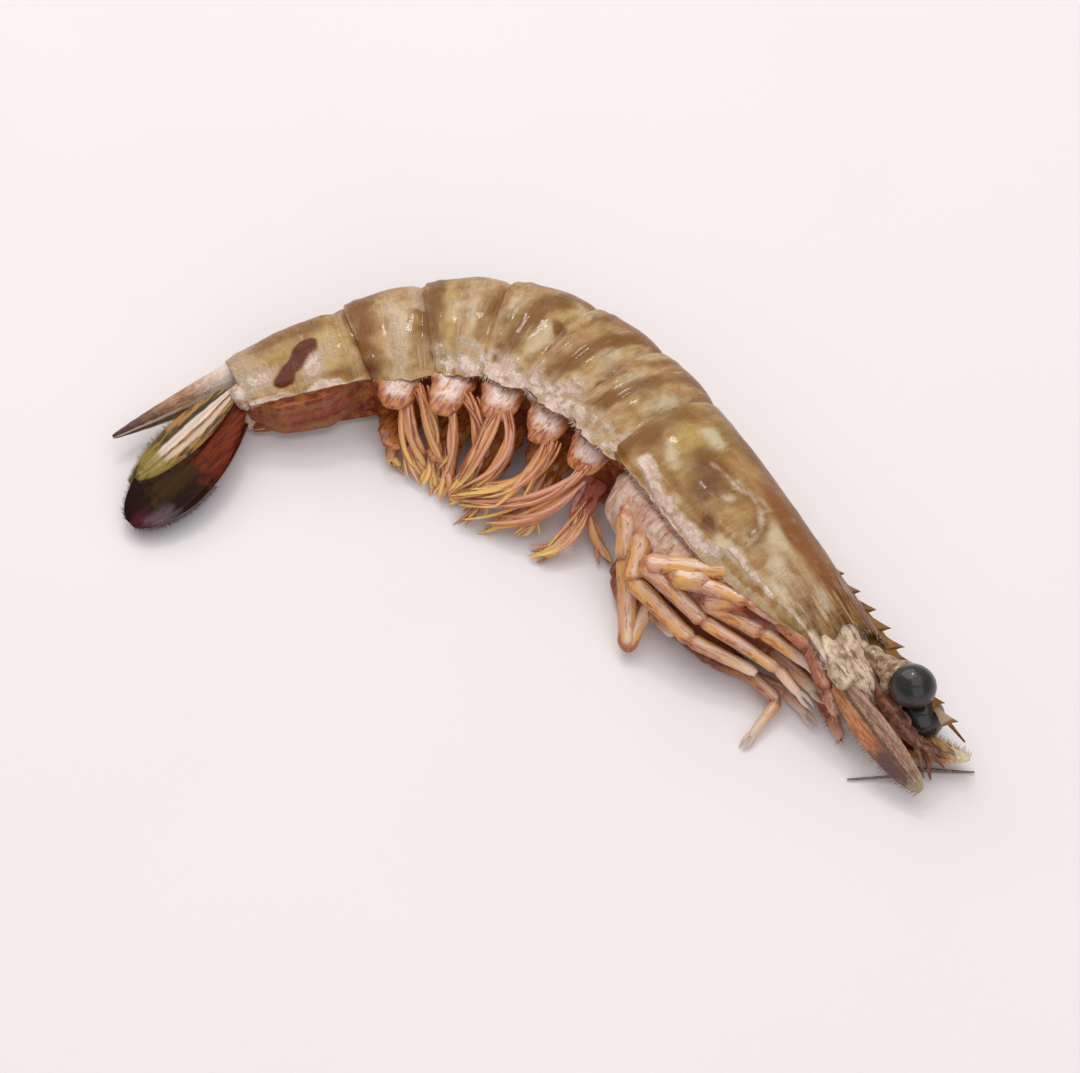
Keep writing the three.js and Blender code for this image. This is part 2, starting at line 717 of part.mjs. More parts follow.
// ---------------------------------------------------------------- swimming legs
// For each, from the front: the knee below the belly, then the bend and end of its two blades.
const PLEOPODS = {
  right: [
    {
      knee: [-0.4, 0.6, 12.4],
      outer: [[-9, -4.2, 8], [-18.2, -8.2, 2.6]],
      inner: [[3, -3.6, 10], [5.2, -8.0, 5.4]],
    },
    {
      knee: [-8.6, 3.0, 12.4],
      outer: [[-13, -2.6, 11], [-19.8, -6.6, 4.8]],
      inner: [[-8.4, -2.6, 11], [-12.4, -7.4, 5.2]],
    },
    {
      knee: [-17.4, 4.2, 12.4],
      outer: [[-14.6, -3.0, 11], [-20.4, -9.8, 1.9]],
      inner: [[-18.6, -0.6, 10], [-20.4, -5.0, 7.0]],
    },
    {
      knee: [-26.0, 2.0, 12.0],
      outer: [[-25.0, -3.2, 9], [-22.8, -5.8, 1.8]],
      inner: [[-22.6, -0.6, 9], [-22.6, -3.4, 5.6]],
    },
    {
      knee: [-34.0, 0.2, 10.8],
      outer: [[-31.6, -2.8, 8], [-26.4, -4.4, 1.8]],
      inner: [[-30.0, -0.4, 9], [-26.8, -1.6, 5.4]],
    },
  ],
  left: [
    {
      knee: [1.0, -3.6, 4.6],
      outer: [[1.6, -8.8, 3.4], [-4.4, -12.0, 0.9]],
      inner: [[4.6, -7.4, 3], [6.6, -9.6, 1.4]],
    },
    {
      knee: [-7.4, -1.0, 4.6],
      outer: [[-8.6, -6.8, 4.2], [-12.4, -10.6, 1.0]],
      inner: [[-6.0, -5.4, 3], [-6.6, -8.6, 1.4]],
    },
    {
      knee: [-16.4, 0.2, 4.6],
      outer: [[-14.4, -5.6, 4.2], [-17.0, -10.2, 1.0]],
      inner: [[-17.8, -3.4, 3], [-19.6, -6.2, 1.4]],
    },
    {
      knee: [-25.2, -1.2, 4.4],
      outer: [[-24.4, -5.2, 3.4], [-20.8, -7.4, 1.0]],
      inner: [[-26.2, -3.8, 3], [-24.6, -6.0, 1.2]],
    },
    {
      knee: [-33.0, -2.4, 4.2],
      outer: [[-31.0, -4.2, 3.2], [-27.4, -5.2, 1.0]],
      inner: [[-34.0, -3.8, 3], [-31.6, -5.0, 1.2]],
    },
  ],
};
const PLEOPOD = { stalk: 2.7, flat: 0.75, outer: 3.2, inner: 2.5, thickness: 1.1 };
for (const [name, sign] of SIDES) {
  PLEOPODS[name].forEach(({ knee, outer, inner }, i) => {
    const s = segmentStarts[i] + TAIL_SEGMENTS[i].length / 2;
    const hip = placeSide(s, -profileAt(s, "edge") - LOBE + 1.6, sign * 2.9);
    const blade = (ends, width) =>
      leaf({
        path: [at(knee), ...ends.map(at)],
        normal: new THREE.Vector3(0.1, -0.5, 1),
        width,
        thickness: PLEOPOD.thickness,
        root: 0.5,
        widest: 0.4,
        steps: 4,
      });
    const parts = [
      limb([hip, at(knee)], [PLEOPOD.stalk], PLEOPOD.flat),
      blade(outer, PLEOPOD.outer),
      blade(inner, PLEOPOD.inner),
    ];
    add(`pleopod_${name}_${i + 1}`, "pleopod", fitted(wasm.Manifold.union(parts)));
  });
}

export default shrimp;
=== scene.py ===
import itertools
import math

import bpy
import numpy as np
from mathutils import Matrix, Vector


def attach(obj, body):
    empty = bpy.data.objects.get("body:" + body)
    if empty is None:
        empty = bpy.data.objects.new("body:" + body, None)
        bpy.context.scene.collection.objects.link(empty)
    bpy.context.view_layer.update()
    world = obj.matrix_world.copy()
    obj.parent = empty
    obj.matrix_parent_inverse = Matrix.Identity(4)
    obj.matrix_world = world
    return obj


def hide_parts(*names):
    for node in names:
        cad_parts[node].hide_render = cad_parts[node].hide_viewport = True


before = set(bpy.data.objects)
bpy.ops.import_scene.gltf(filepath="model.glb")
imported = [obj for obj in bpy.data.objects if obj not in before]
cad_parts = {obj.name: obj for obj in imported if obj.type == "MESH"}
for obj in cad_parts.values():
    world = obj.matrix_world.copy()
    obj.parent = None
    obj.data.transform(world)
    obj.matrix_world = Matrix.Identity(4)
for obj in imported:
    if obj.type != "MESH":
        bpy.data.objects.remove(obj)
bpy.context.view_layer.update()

# ---------------------------------------------------------------- head shell and beak
# One horny saddle over the front half of the body, open below, that grows forward along its ridge
# into a thin toothed beak. It is chitin half a millimetre thick, half clear over the stomach and
# the gills, and its rear rim laps over the first shell of the tail.
MM = 0.001
HEAD_LENGTH = 48.0
HEAD_HEADING = math.radians(-33)
NECK = (9.24, 11.32)  # where the middle line leaves the head shell
# Length and bend in degrees of each stretch of the middle line behind the neck, telson last.
TAIL_STRETCHES = [(11.5, 7), (12, 12), (12, 21), (12, 22), (12.5, 12), (21, 8), (25, 8)]
# Distance behind the eye socket, height of the back over the middle line, depth of the lower edge
# under it, half the thickness, and height of the middle plane over the floor.
PROFILE = np.array([
    (-22, 11.5, 0.0, 3.0, 7.4), (0, 11.6, -0.6, 5.6, 7.6), (10, 11.8, 3.4, 7.6, 8.2),
    (24, 12.2, 7.6, 9.2, 8.8), (38, 12.4, 8.6, 9.7, 9.2), (48, 12.2, 8.6, 9.4, 9.1),
    (60, 12.0, 9.6, 9.1, 8.7), (72, 11.6, 10.6, 8.7, 8.3), (84, 11.0, 11.0, 8.2, 7.8),
    (96, 10.0, 10.6, 7.5, 7.1), (108, 8.8, 9.4, 6.7, 6.4), (120, 7.4, 7.6, 5.8, 5.6),
    (129, 6.0, 6.0, 4.6, 4.9), (136, 4.5, 4.0, 3.4, 4.4),
])
BACK, EDGE, HALF, MID = 1, 2, 3, 4

line = []  # s, x, y and heading of the middle line, from the beak to the end of the tail
for s in (-60.0, HEAD_LENGTH):
    ahead = HEAD_LENGTH - s
    line.append((s, NECK[0] + ahead * math.cos(HEAD_HEADING),
                 NECK[1] + ahead * math.sin(HEAD_HEADING), HEAD_HEADING))
for length, bend in TAIL_STRETCHES:
    steps = 60
    for _ in range(steps):
        s, x, y, heading = line[-1]
        turned = heading + math.radians(bend) / steps
        between = (heading + turned) / 2
        line.append((s + length / steps, x - math.cos(between) * length / steps,
                     y - math.sin(between) * length / steps, turned))
line = np.array(line).T


def profile(s, column):
    """Smooth value of a column of the body's profile at s."""
    at, value = PROFILE[:, 0], PROFILE[:, column]
    slope = np.gradient(value)
    for i in range(len(at)):
        low, high = max(0, i - 1), min(len(at) - 1, i + 1)
        slope[i] = (value[high] - value[low]) / (at[high] - at[low])
    s = np.clip(s, at[0], at[-1])
    i = np.clip(np.searchsorted(at, s, side="right") - 1, 0, len(at) - 2)
    span = at[i + 1] - at[i]
    t = (s - at[i]) / span
    return ((2 * t**3 - 3 * t**2 + 1) * value[i] + (t**3 - 2 * t**2 + t) * slope[i] * span
            + (3 * t**2 - 2 * t**3) * value[i + 1] + (t**3 - t**2) * slope[i + 1] * span)


def place(s, up, z):
    """Points s behind the eye socket, up towards the back and z over the floor, in mm."""
    x, y, heading = (np.interp(s, line[0], line[i]) for i in (1, 2, 3))
    return np.stack(np.broadcast_arrays(x - np.sin(heading) * up, y + np.cos(heading) * up, z), -1)


def beside(s, up, side):
    """The same with the height given from the middle plane, positive towards the right flank."""
    return place(s, up, profile(s, MID) + side)


def smooth(low, high, value):
    """0 below low, 1 above high and a soft step between."""
    t = np.clip((np.asarray(value, float) - low) / (high - low), 0, 1)
    return t * t * (3 - 2 * t)


def hump(value, centre, width, power=2):
    """1 at the centre, gone soft at about the width."""
    return np.exp(-(np.abs((value - centre) / width) ** power))


def wander(points, size, seed):
    """Soft noise between -1 and 1 that changes over size mm."""
    p = np.asarray(points, float) / size + seed * 17.3
    cell = np.floor(p).astype(np.int64)
    part = p - cell
    part = part * part * (3 - 2 * part)
    total = 0
    for corner in itertools.product((0, 1), repeat=3):
        c = cell + corner
        mixed = (c[..., 0] * 73856093) ^ (c[..., 1] * 19349663) ^ (c[..., 2] * 83492791)
        mixed = (mixed ^ (mixed >> 13)) * 1274126177 & 0x7FFFFFFF
        weight = np.prod(np.where(np.array(corner) == 1, part, 1 - part), axis=-1)
        total = total + weight * (mixed % 10007) / 10007
    return total * 2 - 1


def outside(s, g, grow=1.0, inset=0.0, drop=0.0):
    """Point of a shell's outside: g runs from -1, the left edge, over the ridge to 1, the right."""
    share = np.abs(g)
    a = np.clip(share / 0.7, 0, 1) * math.pi / 2
    t = np.clip((share - 0.7) / 0.3, 0, 1)
    back = profile(s, BACK) * grow - inset
    half = profile(s, HALF) * grow - inset
    edge = profile(s, EDGE) + drop
    up = np.where(share < 0.7, back * np.cos(a) ** 0.92, -edge * t)
    side = np.where(share < 0.7, half * np.sin(a) ** 0.86, half * (1 - 0.2 * t * t))
    return up, side * np.sign(g)


# Half of the lining from the right edge to the middle of the belly: rise over the edge and
# distance from the edge as a share of the way to the middle.
LINING = np.array([(0.25, 0.13), (1.2, 0.16), (2.2, 0.19), (2.9, 0.26), (2.6, 0.5), (2.3, 0.75),
                   (2.2, 1.0)])


def shell(front, rear, stations, columns, ragged=0.0, recess=1.0):
    """Grid of a shell between two margins that give s for g. A station is the share of the way
    back, s added to it, growth, inset, and drop of the lower edge. Also s and round as marks;
    round goes on past 1 over the lining."""
    half = 1 - (1 - np.linspace(0, 1, columns)) ** 1.25
    g = np.concatenate([-half[::-1], half[1:]])
    grid, along, turn = [], [], []
    for share, extra, grow, inset, drop in stations:
        s = front(np.abs(g)) + (rear(np.abs(g)) - front(np.abs(g))) * share + extra
        tear = ragged * wander(np.stack([s, np.sign(g) * 9, 0 * s], -1), 1.1, 3)
        tear = tear + ragged * 0.5 * wander(np.stack([s, np.sign(g) * 9, 0 * s], -1), 0.45, 5)
        up, side = outside(s, g, grow, inset, drop + tear)
        depth = recess(share) if callable(recess) else recess
        s_edge = s[-1]
        low, wide = up[-1], side[-1] - inset
        inner_up = low + LINING[:, 0] * depth
        inner_side = wide * (1 - LINING[:, 1])
        lining_round = 1.05 + LINING[:, 1]
        up = np.concatenate([up, inner_up, (up[0] + LINING[:, 0] * depth)[-2::-1]])
        side = np.concatenate([side, inner_side, -inner_side[-2::-1]])
        s = np.concatenate([s, np.full(2 * len(LINING) - 1, s_edge)])
        grid.append(beside(s, up, side))
        along.append(s)
        turn.append(np.concatenate([np.abs(g), lining_round, lining_round[-2::-1]]))
    return np.array(grid), {"along": np.array(along), "round": np.array(turn)}


def normals(grid):
    """Unit normals of a grid whose columns close, pointing out of it."""
    rows = np.gradient(grid, axis=0)
    cols = np.roll(grid, -1, axis=1) - np.roll(grid, 1, axis=1)
    n = np.cross(rows, cols)
    n /= np.maximum(np.linalg.norm(n, axis=-1, keepdims=True), 1e-9)
    outward = grid - grid.mean(axis=1, keepdims=True)
    return n * (1 if (n * outward).sum() > 0 else -1)


LONG_SHEET = 398  # faces from which a sheet's two ends are too small to count


def part(grid, marks):
    """Closed surface over a grid: points, faces and marks, with its faces turned outwards."""
    rows, cols = grid.shape[:2]
    i, j = np.meshgrid(np.arange(rows - 1), np.arange(cols), indexing="ij")
    k = (j + 1) % cols
    quads = np.stack([i * cols + j, i * cols + k, (i + 1) * cols + k, (i + 1) * cols + j], -1)
    points = grid.reshape(-1, 3)
    quads = quads.reshape(-1, 4)
    ends = np.array([np.arange(cols)[::-1], (rows - 1) * cols + np.arange(cols)])
    volume = 0
    for sheet in (quads, ends) if len(quads) < LONG_SHEET else (quads,):
        corner = points[sheet]
        for b in range(1, sheet.shape[1] - 1):
            volume += (corner[:, 0] * np.cross(corner[:, b], corner[:, b + 1])).sum()
    faces = quads.tolist() + ends.tolist()
    if volume < 0:
        faces = [face[::-1] for face in faces]
    return points, faces, {name: value.reshape(-1) for name, value in marks.items()}


def piece(name, parts, finish, sharp=60):
    """Object of one or more closed surfaces in mm, with their marks as attributes."""
    mesh = bpy.data.meshes.new(name)
    points, faces, shift = [], [], 0
    for part_points, part_faces, _ in parts:
        points.append(part_points)
        faces += [[v + shift for v in face] for face in part_faces]
        shift += len(part_points)
    points = np.concatenate(points)
    points[:, 2] = np.maximum(points[:, 2], 0.04)  # what touches the floor lies flat on it
    mesh.from_pydata((points * MM).tolist(), [], faces)
    for mark in parts[0][2]:
        values = np.concatenate([marks[mark] for _, _, marks in parts])
        mesh.attributes.new(mark, "FLOAT", "POINT").data.foreach_set("value", values)
    mesh.polygons.foreach_set("use_smooth", [True] * len(mesh.polygons))
    mesh.set_sharp_from_angle(angle=math.radians(sharp))
    mesh.materials.append(finish)
    mesh.update()
    made = bpy.data.objects.new(name, mesh)
    bpy.context.scene.collection.objects.link(made)
    return made


def stroke(marks, path, around=25.0):
    """Distance in mm over a shell from a line drawn on it through (s, round) points."""
    x, y = marks["along"], marks["round"] * around
    nearest = np.full(x.shape, 1e9)
    for (s0, g0), (s1, g1) in zip(path, path[1:]):
        dx, dy = s1 - s0, (g1 - g0) * around
        t = np.clip(((x - s0) * dx + (y - g0 * around) * dy) / (dx * dx + dy * dy), 0, 1)
        nearest = np.minimum(nearest, np.hypot(x - s0 - t * dx, y - g0 * around - t * dy))
    return nearest


def drawn(marks, path, width, power=2):
    """A soft line along such a path, 1 in its middle."""
    return hump(stroke(marks, path), 0, width, power)


# Front margin: forward at the beak, back round the eye socket, forward at the spine below it.
SOCKET = np.array([(0, -1.5), (0.25, 0.8), (0.45, 2.8), (0.6, 1.2), (0.7, -1.6), (0.82, 1.5),
                   (1, 4.5)])


def socket_margin(g):
    i = np.clip(np.searchsorted(SOCKET[:, 0], g, side="left"), 1, len(SOCKET) - 1)
    t = smooth(SOCKET[i - 1, 0], SOCKET[i, 0], g)
    return SOCKET[i - 1, 1] * (1 - t) + SOCKET[i, 1] * t


def head_rear(g):
    return HEAD_LENGTH + 0.3 + 0.9 * np.sin(np.clip(g, 0, 1) * math.pi) ** 2


stations = [(0, 3.0, 1, 0.75, 0), (0, 0.25, 1, 0.6, 0), (0, 0.0, 1, 0.35, 0), (0, 0.02, 1, 0.08, 0)]
stations += [(t, 0, 1, 0, 0) for t in np.linspace(0.004, 0.996, 120)]
stations += [(1, 0, 1, 0.1, 0), (1, 0.02, 1, 0.35, 0), (1, -0.3, 1, 0.55, 0), (1, -3.0, 1, 0.8, 0)]
grid, marks = shell(socket_margin, head_rear, stations, 56, ragged=0.22)
s, g = marks["along"], marks["round"]
outer = 1 - smooth(0.98, 1.02, g)

# Grooves and ridges of the head shell as lines of (s, round): depth or height, and half width.
CROSS_GROOVE = [(38.5, 0.62), (35, 0.56), (31.8, 0.53), (28.5, 0.5), (25, 0.46)]
STOMACH_RIM = [(31.5, 0.74), (30.2, 0.58), (28, 0.53), (25, 0.54), (22.2, 0.59), (21, 0.68),
               (22.2, 0.75), (26, 0.78)]
GILL_RIDGE = [(41, 0.93), (32, 0.92), (24, 0.9), (21, 0.82), (16.5, 0.83), (11.8, 0.82),
              (6.8, 0.75), (3.0, 0.68), (-1.0, 0.7)]
GILL_FOLD = [(44, 0.9), (36, 0.86), (28, 0.86), (22, 0.78)]
CREST_GROOVE = [(42, 0.09), (20, 0.1), (4, 0.12)]
RELIEF = [(CROSS_GROOVE, -0.3, 0.9), (STOMACH_RIM, 0.22, 0.7), (GILL_RIDGE, 0.45, 0.7),
          (GILL_FOLD, -0.3, 0.8), (CREST_GROOVE, -0.35, 0.8)]
relief = 0.1 * wander(grid, 3.2, 1) + 0.04 * wander(grid, 1.1, 2)
for path, height, width in RELIEF:
    relief += height * drawn(marks, path, width)
relief += 0.45 * hump(g, 0, 0.05) * smooth(46, 30, s)  # crest along the ridge
relief += 0.25 * np.cos((s - 44) / 3.1) * smooth(24, 34, s) * smooth(0.15, 0.3, g)
relief -= 0.35 * smooth(0.955, 0.985, g) * smooth(24, 30, s)  # the rolled lower rim
grid = grid + normals(grid) * (relief * outer)[..., None]
shell_part = part(grid, marks)

# The beak: a lens in section, with a saw of teeth above and two below.
BEAK = {"rear": 21.0, "tip": -22.0, "width": 1.9, "depth": 2.9, "teeth": 9, "tooth": 1.5}
UNDER_TEETH = (-12.0, -17.0)
s = np.concatenate([np.arange(BEAK["rear"], -19.5, -0.16), np.linspace(-19.5, BEAK["tip"], 12)])
top = profile(s, BACK) + 0.9 - np.maximum(0, (s - 4) / 17) * 1.6
reach = np.clip((s - BEAK["tip"]) / -BEAK["tip"], 0, 1)
bottom = profile(s, BACK) + 0.6 - BEAK["depth"] * reach**1.1 - np.where(s > 0, 1.0, 0)
saw = np.zeros_like(s)
for i in range(BEAK["teeth"] + 1):
    tip = BEAK["rear"] - 3 + (BEAK["tip"] + 7 - BEAK["rear"]) * i / BEAK["teeth"]
    height = BEAK["tooth"] * (0.75 + 0.25 * math.sin(i / BEAK["teeth"] * math.pi))
    rise = np.clip((tip + 2.6 - s) / 2.6, 0, 1) ** 1.4 * (s >= tip - 0.01)
    saw = np.maximum(saw, height * rise)
under = np.zeros_like(s)
for tip in UNDER_TEETH:
    under = np.maximum(under, 0.9 * np.clip((tip + 1.6 - s) / 2.6, 0, 1) * (s >= tip - 1))
width = BEAK["width"] * np.clip((s - BEAK["tip"]) / 30, 0.16, 1) * (1 + 0.5 * smooth(-4, 8, s))
HEIGHTS = np.array([1.0, 0.86, 0.66, 0.46, 0.3, 0.12, 0.0])
LENS = np.array([0.1, 0.3, 0.62, 1.0, 0.72, 0.4, 0.1])
heights = np.concatenate([HEIGHTS, HEIGHTS[::-1]])
sides = np.concatenate([LENS, -LENS[::-1]])
high = (top + saw)[:, None]
low = (bottom - under)[:, None]
up = low + (high - low) * heights
lean = -0.55 * saw[:, None] * heights**3
side = width[:, None] / 2 * sides
beak_s = s[:, None] + lean
grid = beside(beak_s, up, side)
beak_part = part(grid, {"along": beak_s, "round": 0.02 + 0 * beak_s})


def linear(code):
    """Linear colour of a hexadecimal one."""
    parts = [int(code[i:i + 2], 16) / 255 for i in (0, 2, 4)]
    return [*(((c + 0.055) / 1.055) ** 2.4 if c > 0.04045 else c / 12.92 for c in parts), 1.0]


class Wire:
    """One output in a node tree. Sums on it add the nodes that work them out."""

    def __init__(self, bench, socket):
        self.bench = bench
        self.socket = socket

    def sum(self, operation, *values):
        return self.bench.node("ShaderNodeMath", {"operation": operation}, dict(enumerate(values)))

    def __add__(self, other):
        return self.sum("ADD", self, other)

    def __sub__(self, other):
        return self.sum("SUBTRACT", self, other)

    def __rsub__(self, other):
        return self.sum("SUBTRACT", other, self)

    def __mul__(self, other):
        return self.sum("MULTIPLY", self, other)

    def __truediv__(self, other):
        return self.sum("DIVIDE", self, other)

    def __pow__(self, other):
        return self.sum("POWER", self, other)

    def __abs__(self):
        return self.sum("ABSOLUTE", self)

    __radd__ = __add__
    __rmul__ = __mul__

    def rise(self, low, high):
        """0 below low and 1 above high, or the other way round, with a soft step between."""
        settings = {"interpolation_type": "SMOOTHSTEP"}
        ends = {0: self, 1: min(low, high), 2: max(low, high)}
        ends |= {3: 0.0 if low < high else 1.0, 4: 1.0 if low < high else 0.0}
        return self.bench.node("ShaderNodeMapRange", settings, ends)

    def near(self, centre, half, soft):
        """1 within half of the centre, gone soft further out."""
        return abs(self - centre).rise(half + soft, half)


class Bench:
    """A node tree and the one way of adding a node to it."""

    def __init__(self, tree):
        self.tree = tree

    def node(self, kind, settings=None, sockets=None, out=0):
        made = self.tree.nodes.new(kind)
        for name, value in (settings or {}).items():
            setattr(made, name, value)
        for name, value in (sockets or {}).items():
            if isinstance(value, Wire):
                self.tree.links.new(value.socket, made.inputs[name])
            else:
                made.inputs[name].default_value = value
        return Wire(self, made.outputs[out]) if made.outputs else None


class Finish(Bench):
    """A material: wet, horny or fleshy, painted from the marks and the place of each point."""

    def __init__(self, name, **constants):
        self.material = bpy.data.materials.new(name)
        self.material.use_nodes = True
        super().__init__(self.material.node_tree)
        self.tree.nodes.clear()
        self.constants = constants

    def mark(self, name):
        return self.node("ShaderNodeAttribute", {"attribute_name": name}, out=2)

    def spot(self, stretch=(1, 1, 1), turn=0.0):
        """Object coordinates in mm, turned and stretched so that noise on them makes streaks."""
        where = self.node("ShaderNodeTexCoord", out=3)
        scale = [k * MM for k in stretch]
        return self.node("ShaderNodeMapping", {"vector_type": "TEXTURE"},
                         {0: where, 2: (0, 0, turn), 3: scale})

    def over(self, long, wide, around=25.0):
        """Place on a shell in mm, from its marks, stretched by long along it and wide round it."""
        sockets = {0: self.mark("along") / long, 1: self.mark("round") * (around / wide)}
        return self.node("ShaderNodeCombineXYZ", None, sockets)

    def grain(self, size, detail=3.0, rough=0.55, where=None):
        """Noise from 0 to 1 whose blots are about size mm wide."""
        sockets = {"Vector": where or self.spot(), "Scale": 1 / size, "Detail": detail,
                   "Roughness": rough}
        return self.node("ShaderNodeTexNoise", None, sockets)

    def freckle(self, size, where=None):
        """Distance from the nearest of a scatter of dots, size mm apart."""
        return self.node("ShaderNodeTexVoronoi", None,
                         {"Vector": where or self.spot(), "Scale": 1 / size})

    def blend(self, factor, first, second):
        """Second colour over the first by factor."""
        colours = [linear(c) if isinstance(c, str) else c for c in (first, second)]
        return self.node("ShaderNodeMix", {"data_type": "RGBA"},
                         {0: factor, 6: colours[0], 7: colours[1]}, out=2)

    def paint(self, colour, *coats):
        """Coats of (factor, colour) laid over a colour one after another."""
        for factor, coat in coats:
            colour = self.blend(factor, colour, coat)
        return colour

    def close(self, colour, roughness, height, deep=0.25):
        """Joins the colour, roughness and height in mm to the surface."""
        bump = self.node("ShaderNodeBump", None, {"Strength": 1.0, "Distance": deep * MM,
                                                  "Height": height})
        sockets = {"Base Color": colour, "Roughness": roughness, "Normal": bump}
        skin = self.node("ShaderNodeBsdfPrincipled", None, {**sockets, **self.constants})
        self.node("ShaderNodeOutputMaterial", None, {0: skin})
        return self.material


# The shell's colours: horn, its brown bands, the orange and grey of what shows through it, and the
# chalky white where it dries at the edges. Cream and light are painted highlights.
HORN = {"tan": "a4733c", "sand": "cba874", "olive": "8a6822", "brown": "7e4c02", "orange": "8a4a0c",
        "cream": "d9c6a4", "gold": "c2a256", "plum": "5e1a02", "chalk": "f8ddca",
        "lining": "b0662f", "lining_red": "852f14", "dot": "3c220e", "line": "3c2514",
        "light": "dcc4a2", "chalk_pink": "c98a78", "chalk_grey": "dcb8a0",
        "chalk_light": "fff4ea"}
SHELL_MARKS = ("along", "round", "dark", "warm", "cool", "gold", "plum", "pale")
WET = {"IOR": 1.45, "Specular IOR Level": 0.35, "Coat Weight": 0.36, "Coat Roughness": 0.07,
       "Subsurface Weight": 0.12, "Subsurface Radius": (1.0, 0.45, 0.25),
       "Subsurface Scale": 1.2 * MM}

horn = Finish("banded_horn", **{**WET, "Specular IOR Level": 0.2, "Coat Weight": 0.22})
cloud, blots, fine, dust = (horn.grain(*k) for k in ((5.5, 3), (1.9, 4), (0.5, 4), (0.16, 2)))
ribs = horn.grain(1.0, 4, 0.6, horn.over(1.1, 7.0))
streaks = horn.grain(1.0, 3, 0.55, horn.over(6.0, 0.8))
loose = (cloud - 0.5) * 0.55 + (blots - 0.5) * 0.6 + (fine - 0.5) * 0.3 + (ribs - 0.5) * 0.7


def stain(name, soft=1.0, low=0.08, high=0.95):
    """A mark broken up by the grain of the horn."""
    return (horn.mark(name) + loose * soft).rise(low, high)


on_tail = horn.mark("along").rise(45, 49) * 0.8 + 0.2
sandy = (blots * 0.5 + ribs * 0.5).rise(0.36, 0.64) * (on_tail * 0.5 + 0.5)
colour = horn.blend(sandy, HORN["tan"], HORN["sand"])
colour = horn.paint(
    colour, (cloud.rise(0.42, 0.68) * (0.9 - on_tail * 0.3), HORN["olive"]),
    # Painted highlight: cream over the soft highlight mark.
    (stain("gold") * 0.75, HORN["gold"]), (stain("cool") * 0.8, HORN["cream"]),
    # Painted highlight: light along the tail's ribs.
    (ribs.rise(0.46, 0.32) * on_tail * 0.45, HORN["light"]),
    (stain("dark", 0.9) * 0.92, HORN["brown"]), (stain("warm") * 0.85, HORN["orange"]),
    (stain("plum", 0.7, 0.1, 0.9) * (on_tail * 0.25 + 0.65), HORN["plum"]))
dots = (1 - horn.freckle(0.42).rise(0.12, 0.3)) * fine.rise(0.45, 0.6)
colour = horn.blend(dots * 0.45, colour, HORN["dot"])
front_lines = horn.mark("along").rise(17, 5) * horn.mark("round").rise(0.8, 0.66)
colour = horn.paint(
    colour, (streaks.rise(0.5, 0.62) * front_lines * 0.75, HORN["line"]),
    # Painted highlight: light between the dark lines at the front.
    (streaks.rise(0.46, 0.36) * front_lines * 0.5, HORN["light"]),
    (ribs.rise(0.54, 0.7) * on_tail * 0.5, HORN["line"]))
pale = horn.mark("pale")
# Painted soft highlight: light laid over the pale mark, which also carries the dried chalk.
colour = horn.blend((pale + loose * 0.8).rise(0.0, 0.6) * 0.6, colour, HORN["light"])
chalk = pale + (blots - 0.5) * 1.2 + (fine - 0.5) * 0.8 + (ribs - 0.5) * 0.8
chalk = chalk.rise(0.38, 0.82)
chalk_colour = horn.blend(blots.rise(0.4, 0.6), HORN["chalk"], HORN["chalk_grey"])
# The lightest white specked over the chalk: partly the chalk's own white, partly painted glints.
chalk_colour = horn.blend(dust.rise(0.5, 0.62) * 0.7, chalk_colour, HORN["chalk_light"])
colour = horn.paint(
    colour, (chalk * 0.94, chalk_colour), (chalk * fine.rise(0.44, 0.34) * 0.3, HORN["tan"]),
    (chalk * streaks.rise(0.44, 0.34) * 0.5, HORN["tan"]),
    (chalk * ribs.rise(0.56, 0.68) * 0.4, HORN["chalk_pink"]))
inner = horn.mark("round").rise(1.0, 1.06)
lining = horn.blend(blots.rise(0.35, 0.6), HORN["lining"], HORN["lining_red"])
lining = horn.blend(streaks.rise(0.5, 0.7) * 0.6, lining, "c08a60")
closed = horn.mark("along").rise(108, 111)
lining = horn.paint(
    # Painted highlight: a paler band down the middle of the last shell's rounded belly.
    lining, (horn.mark("round").near(1.5, 0.02, 0.24) * closed * 0.5, "b07a58"),
    (horn.mark("round").near(1.95, 0.03, 0.1) * closed * 0.4, "b0594a"))
colour = horn.blend(inner, colour, lining)
roughness = 0.3 + chalk * 0.3 + (fine - 0.5) * 0.2 - inner * 0.1
height = fine * 0.5 + dust * 0.25 + ribs * on_tail + streaks * front_lines * 0.6
height = height + chalk * (dust * 0.5 + 0.5) * 0.7
horn = horn.close(colour, roughness, height, 0.42)


def blots_at(s, g, rows):
    """Blots of (strength, s, round, half length, half width) on a shell, added up."""
    return sum(strength * hump(s, s0, long) * hump(g, g0, wide)
               for strength, s0, g0, long, wide in rows)


def band(value, centre, half):
    return hump(value, centre, half, 2.4)


# The chalky line where the gill cover has dried, broken into chips, and the soft pink ridge that
# carries it on to the front.
CHALK_CHIPS = [[(43.0, 0.9), (39, 0.925), (36.2, 0.95)],
               [(34.2, 0.945), (31.8, 0.96), (30.4, 0.955)],
               [(28.4, 0.93), (25, 0.94), (22, 0.92)]]
# A painted highlight along the ridge at the upper edge of the dark diamond, in the chalky white.
HIGHLIGHT_RIDGE = [(38.2, 0.63), (34.5, 0.58), (31.2, 0.57)]
EYE_RIM = [(24.5, 0.55), (21.4, 0.62), (20.6, 0.7)]
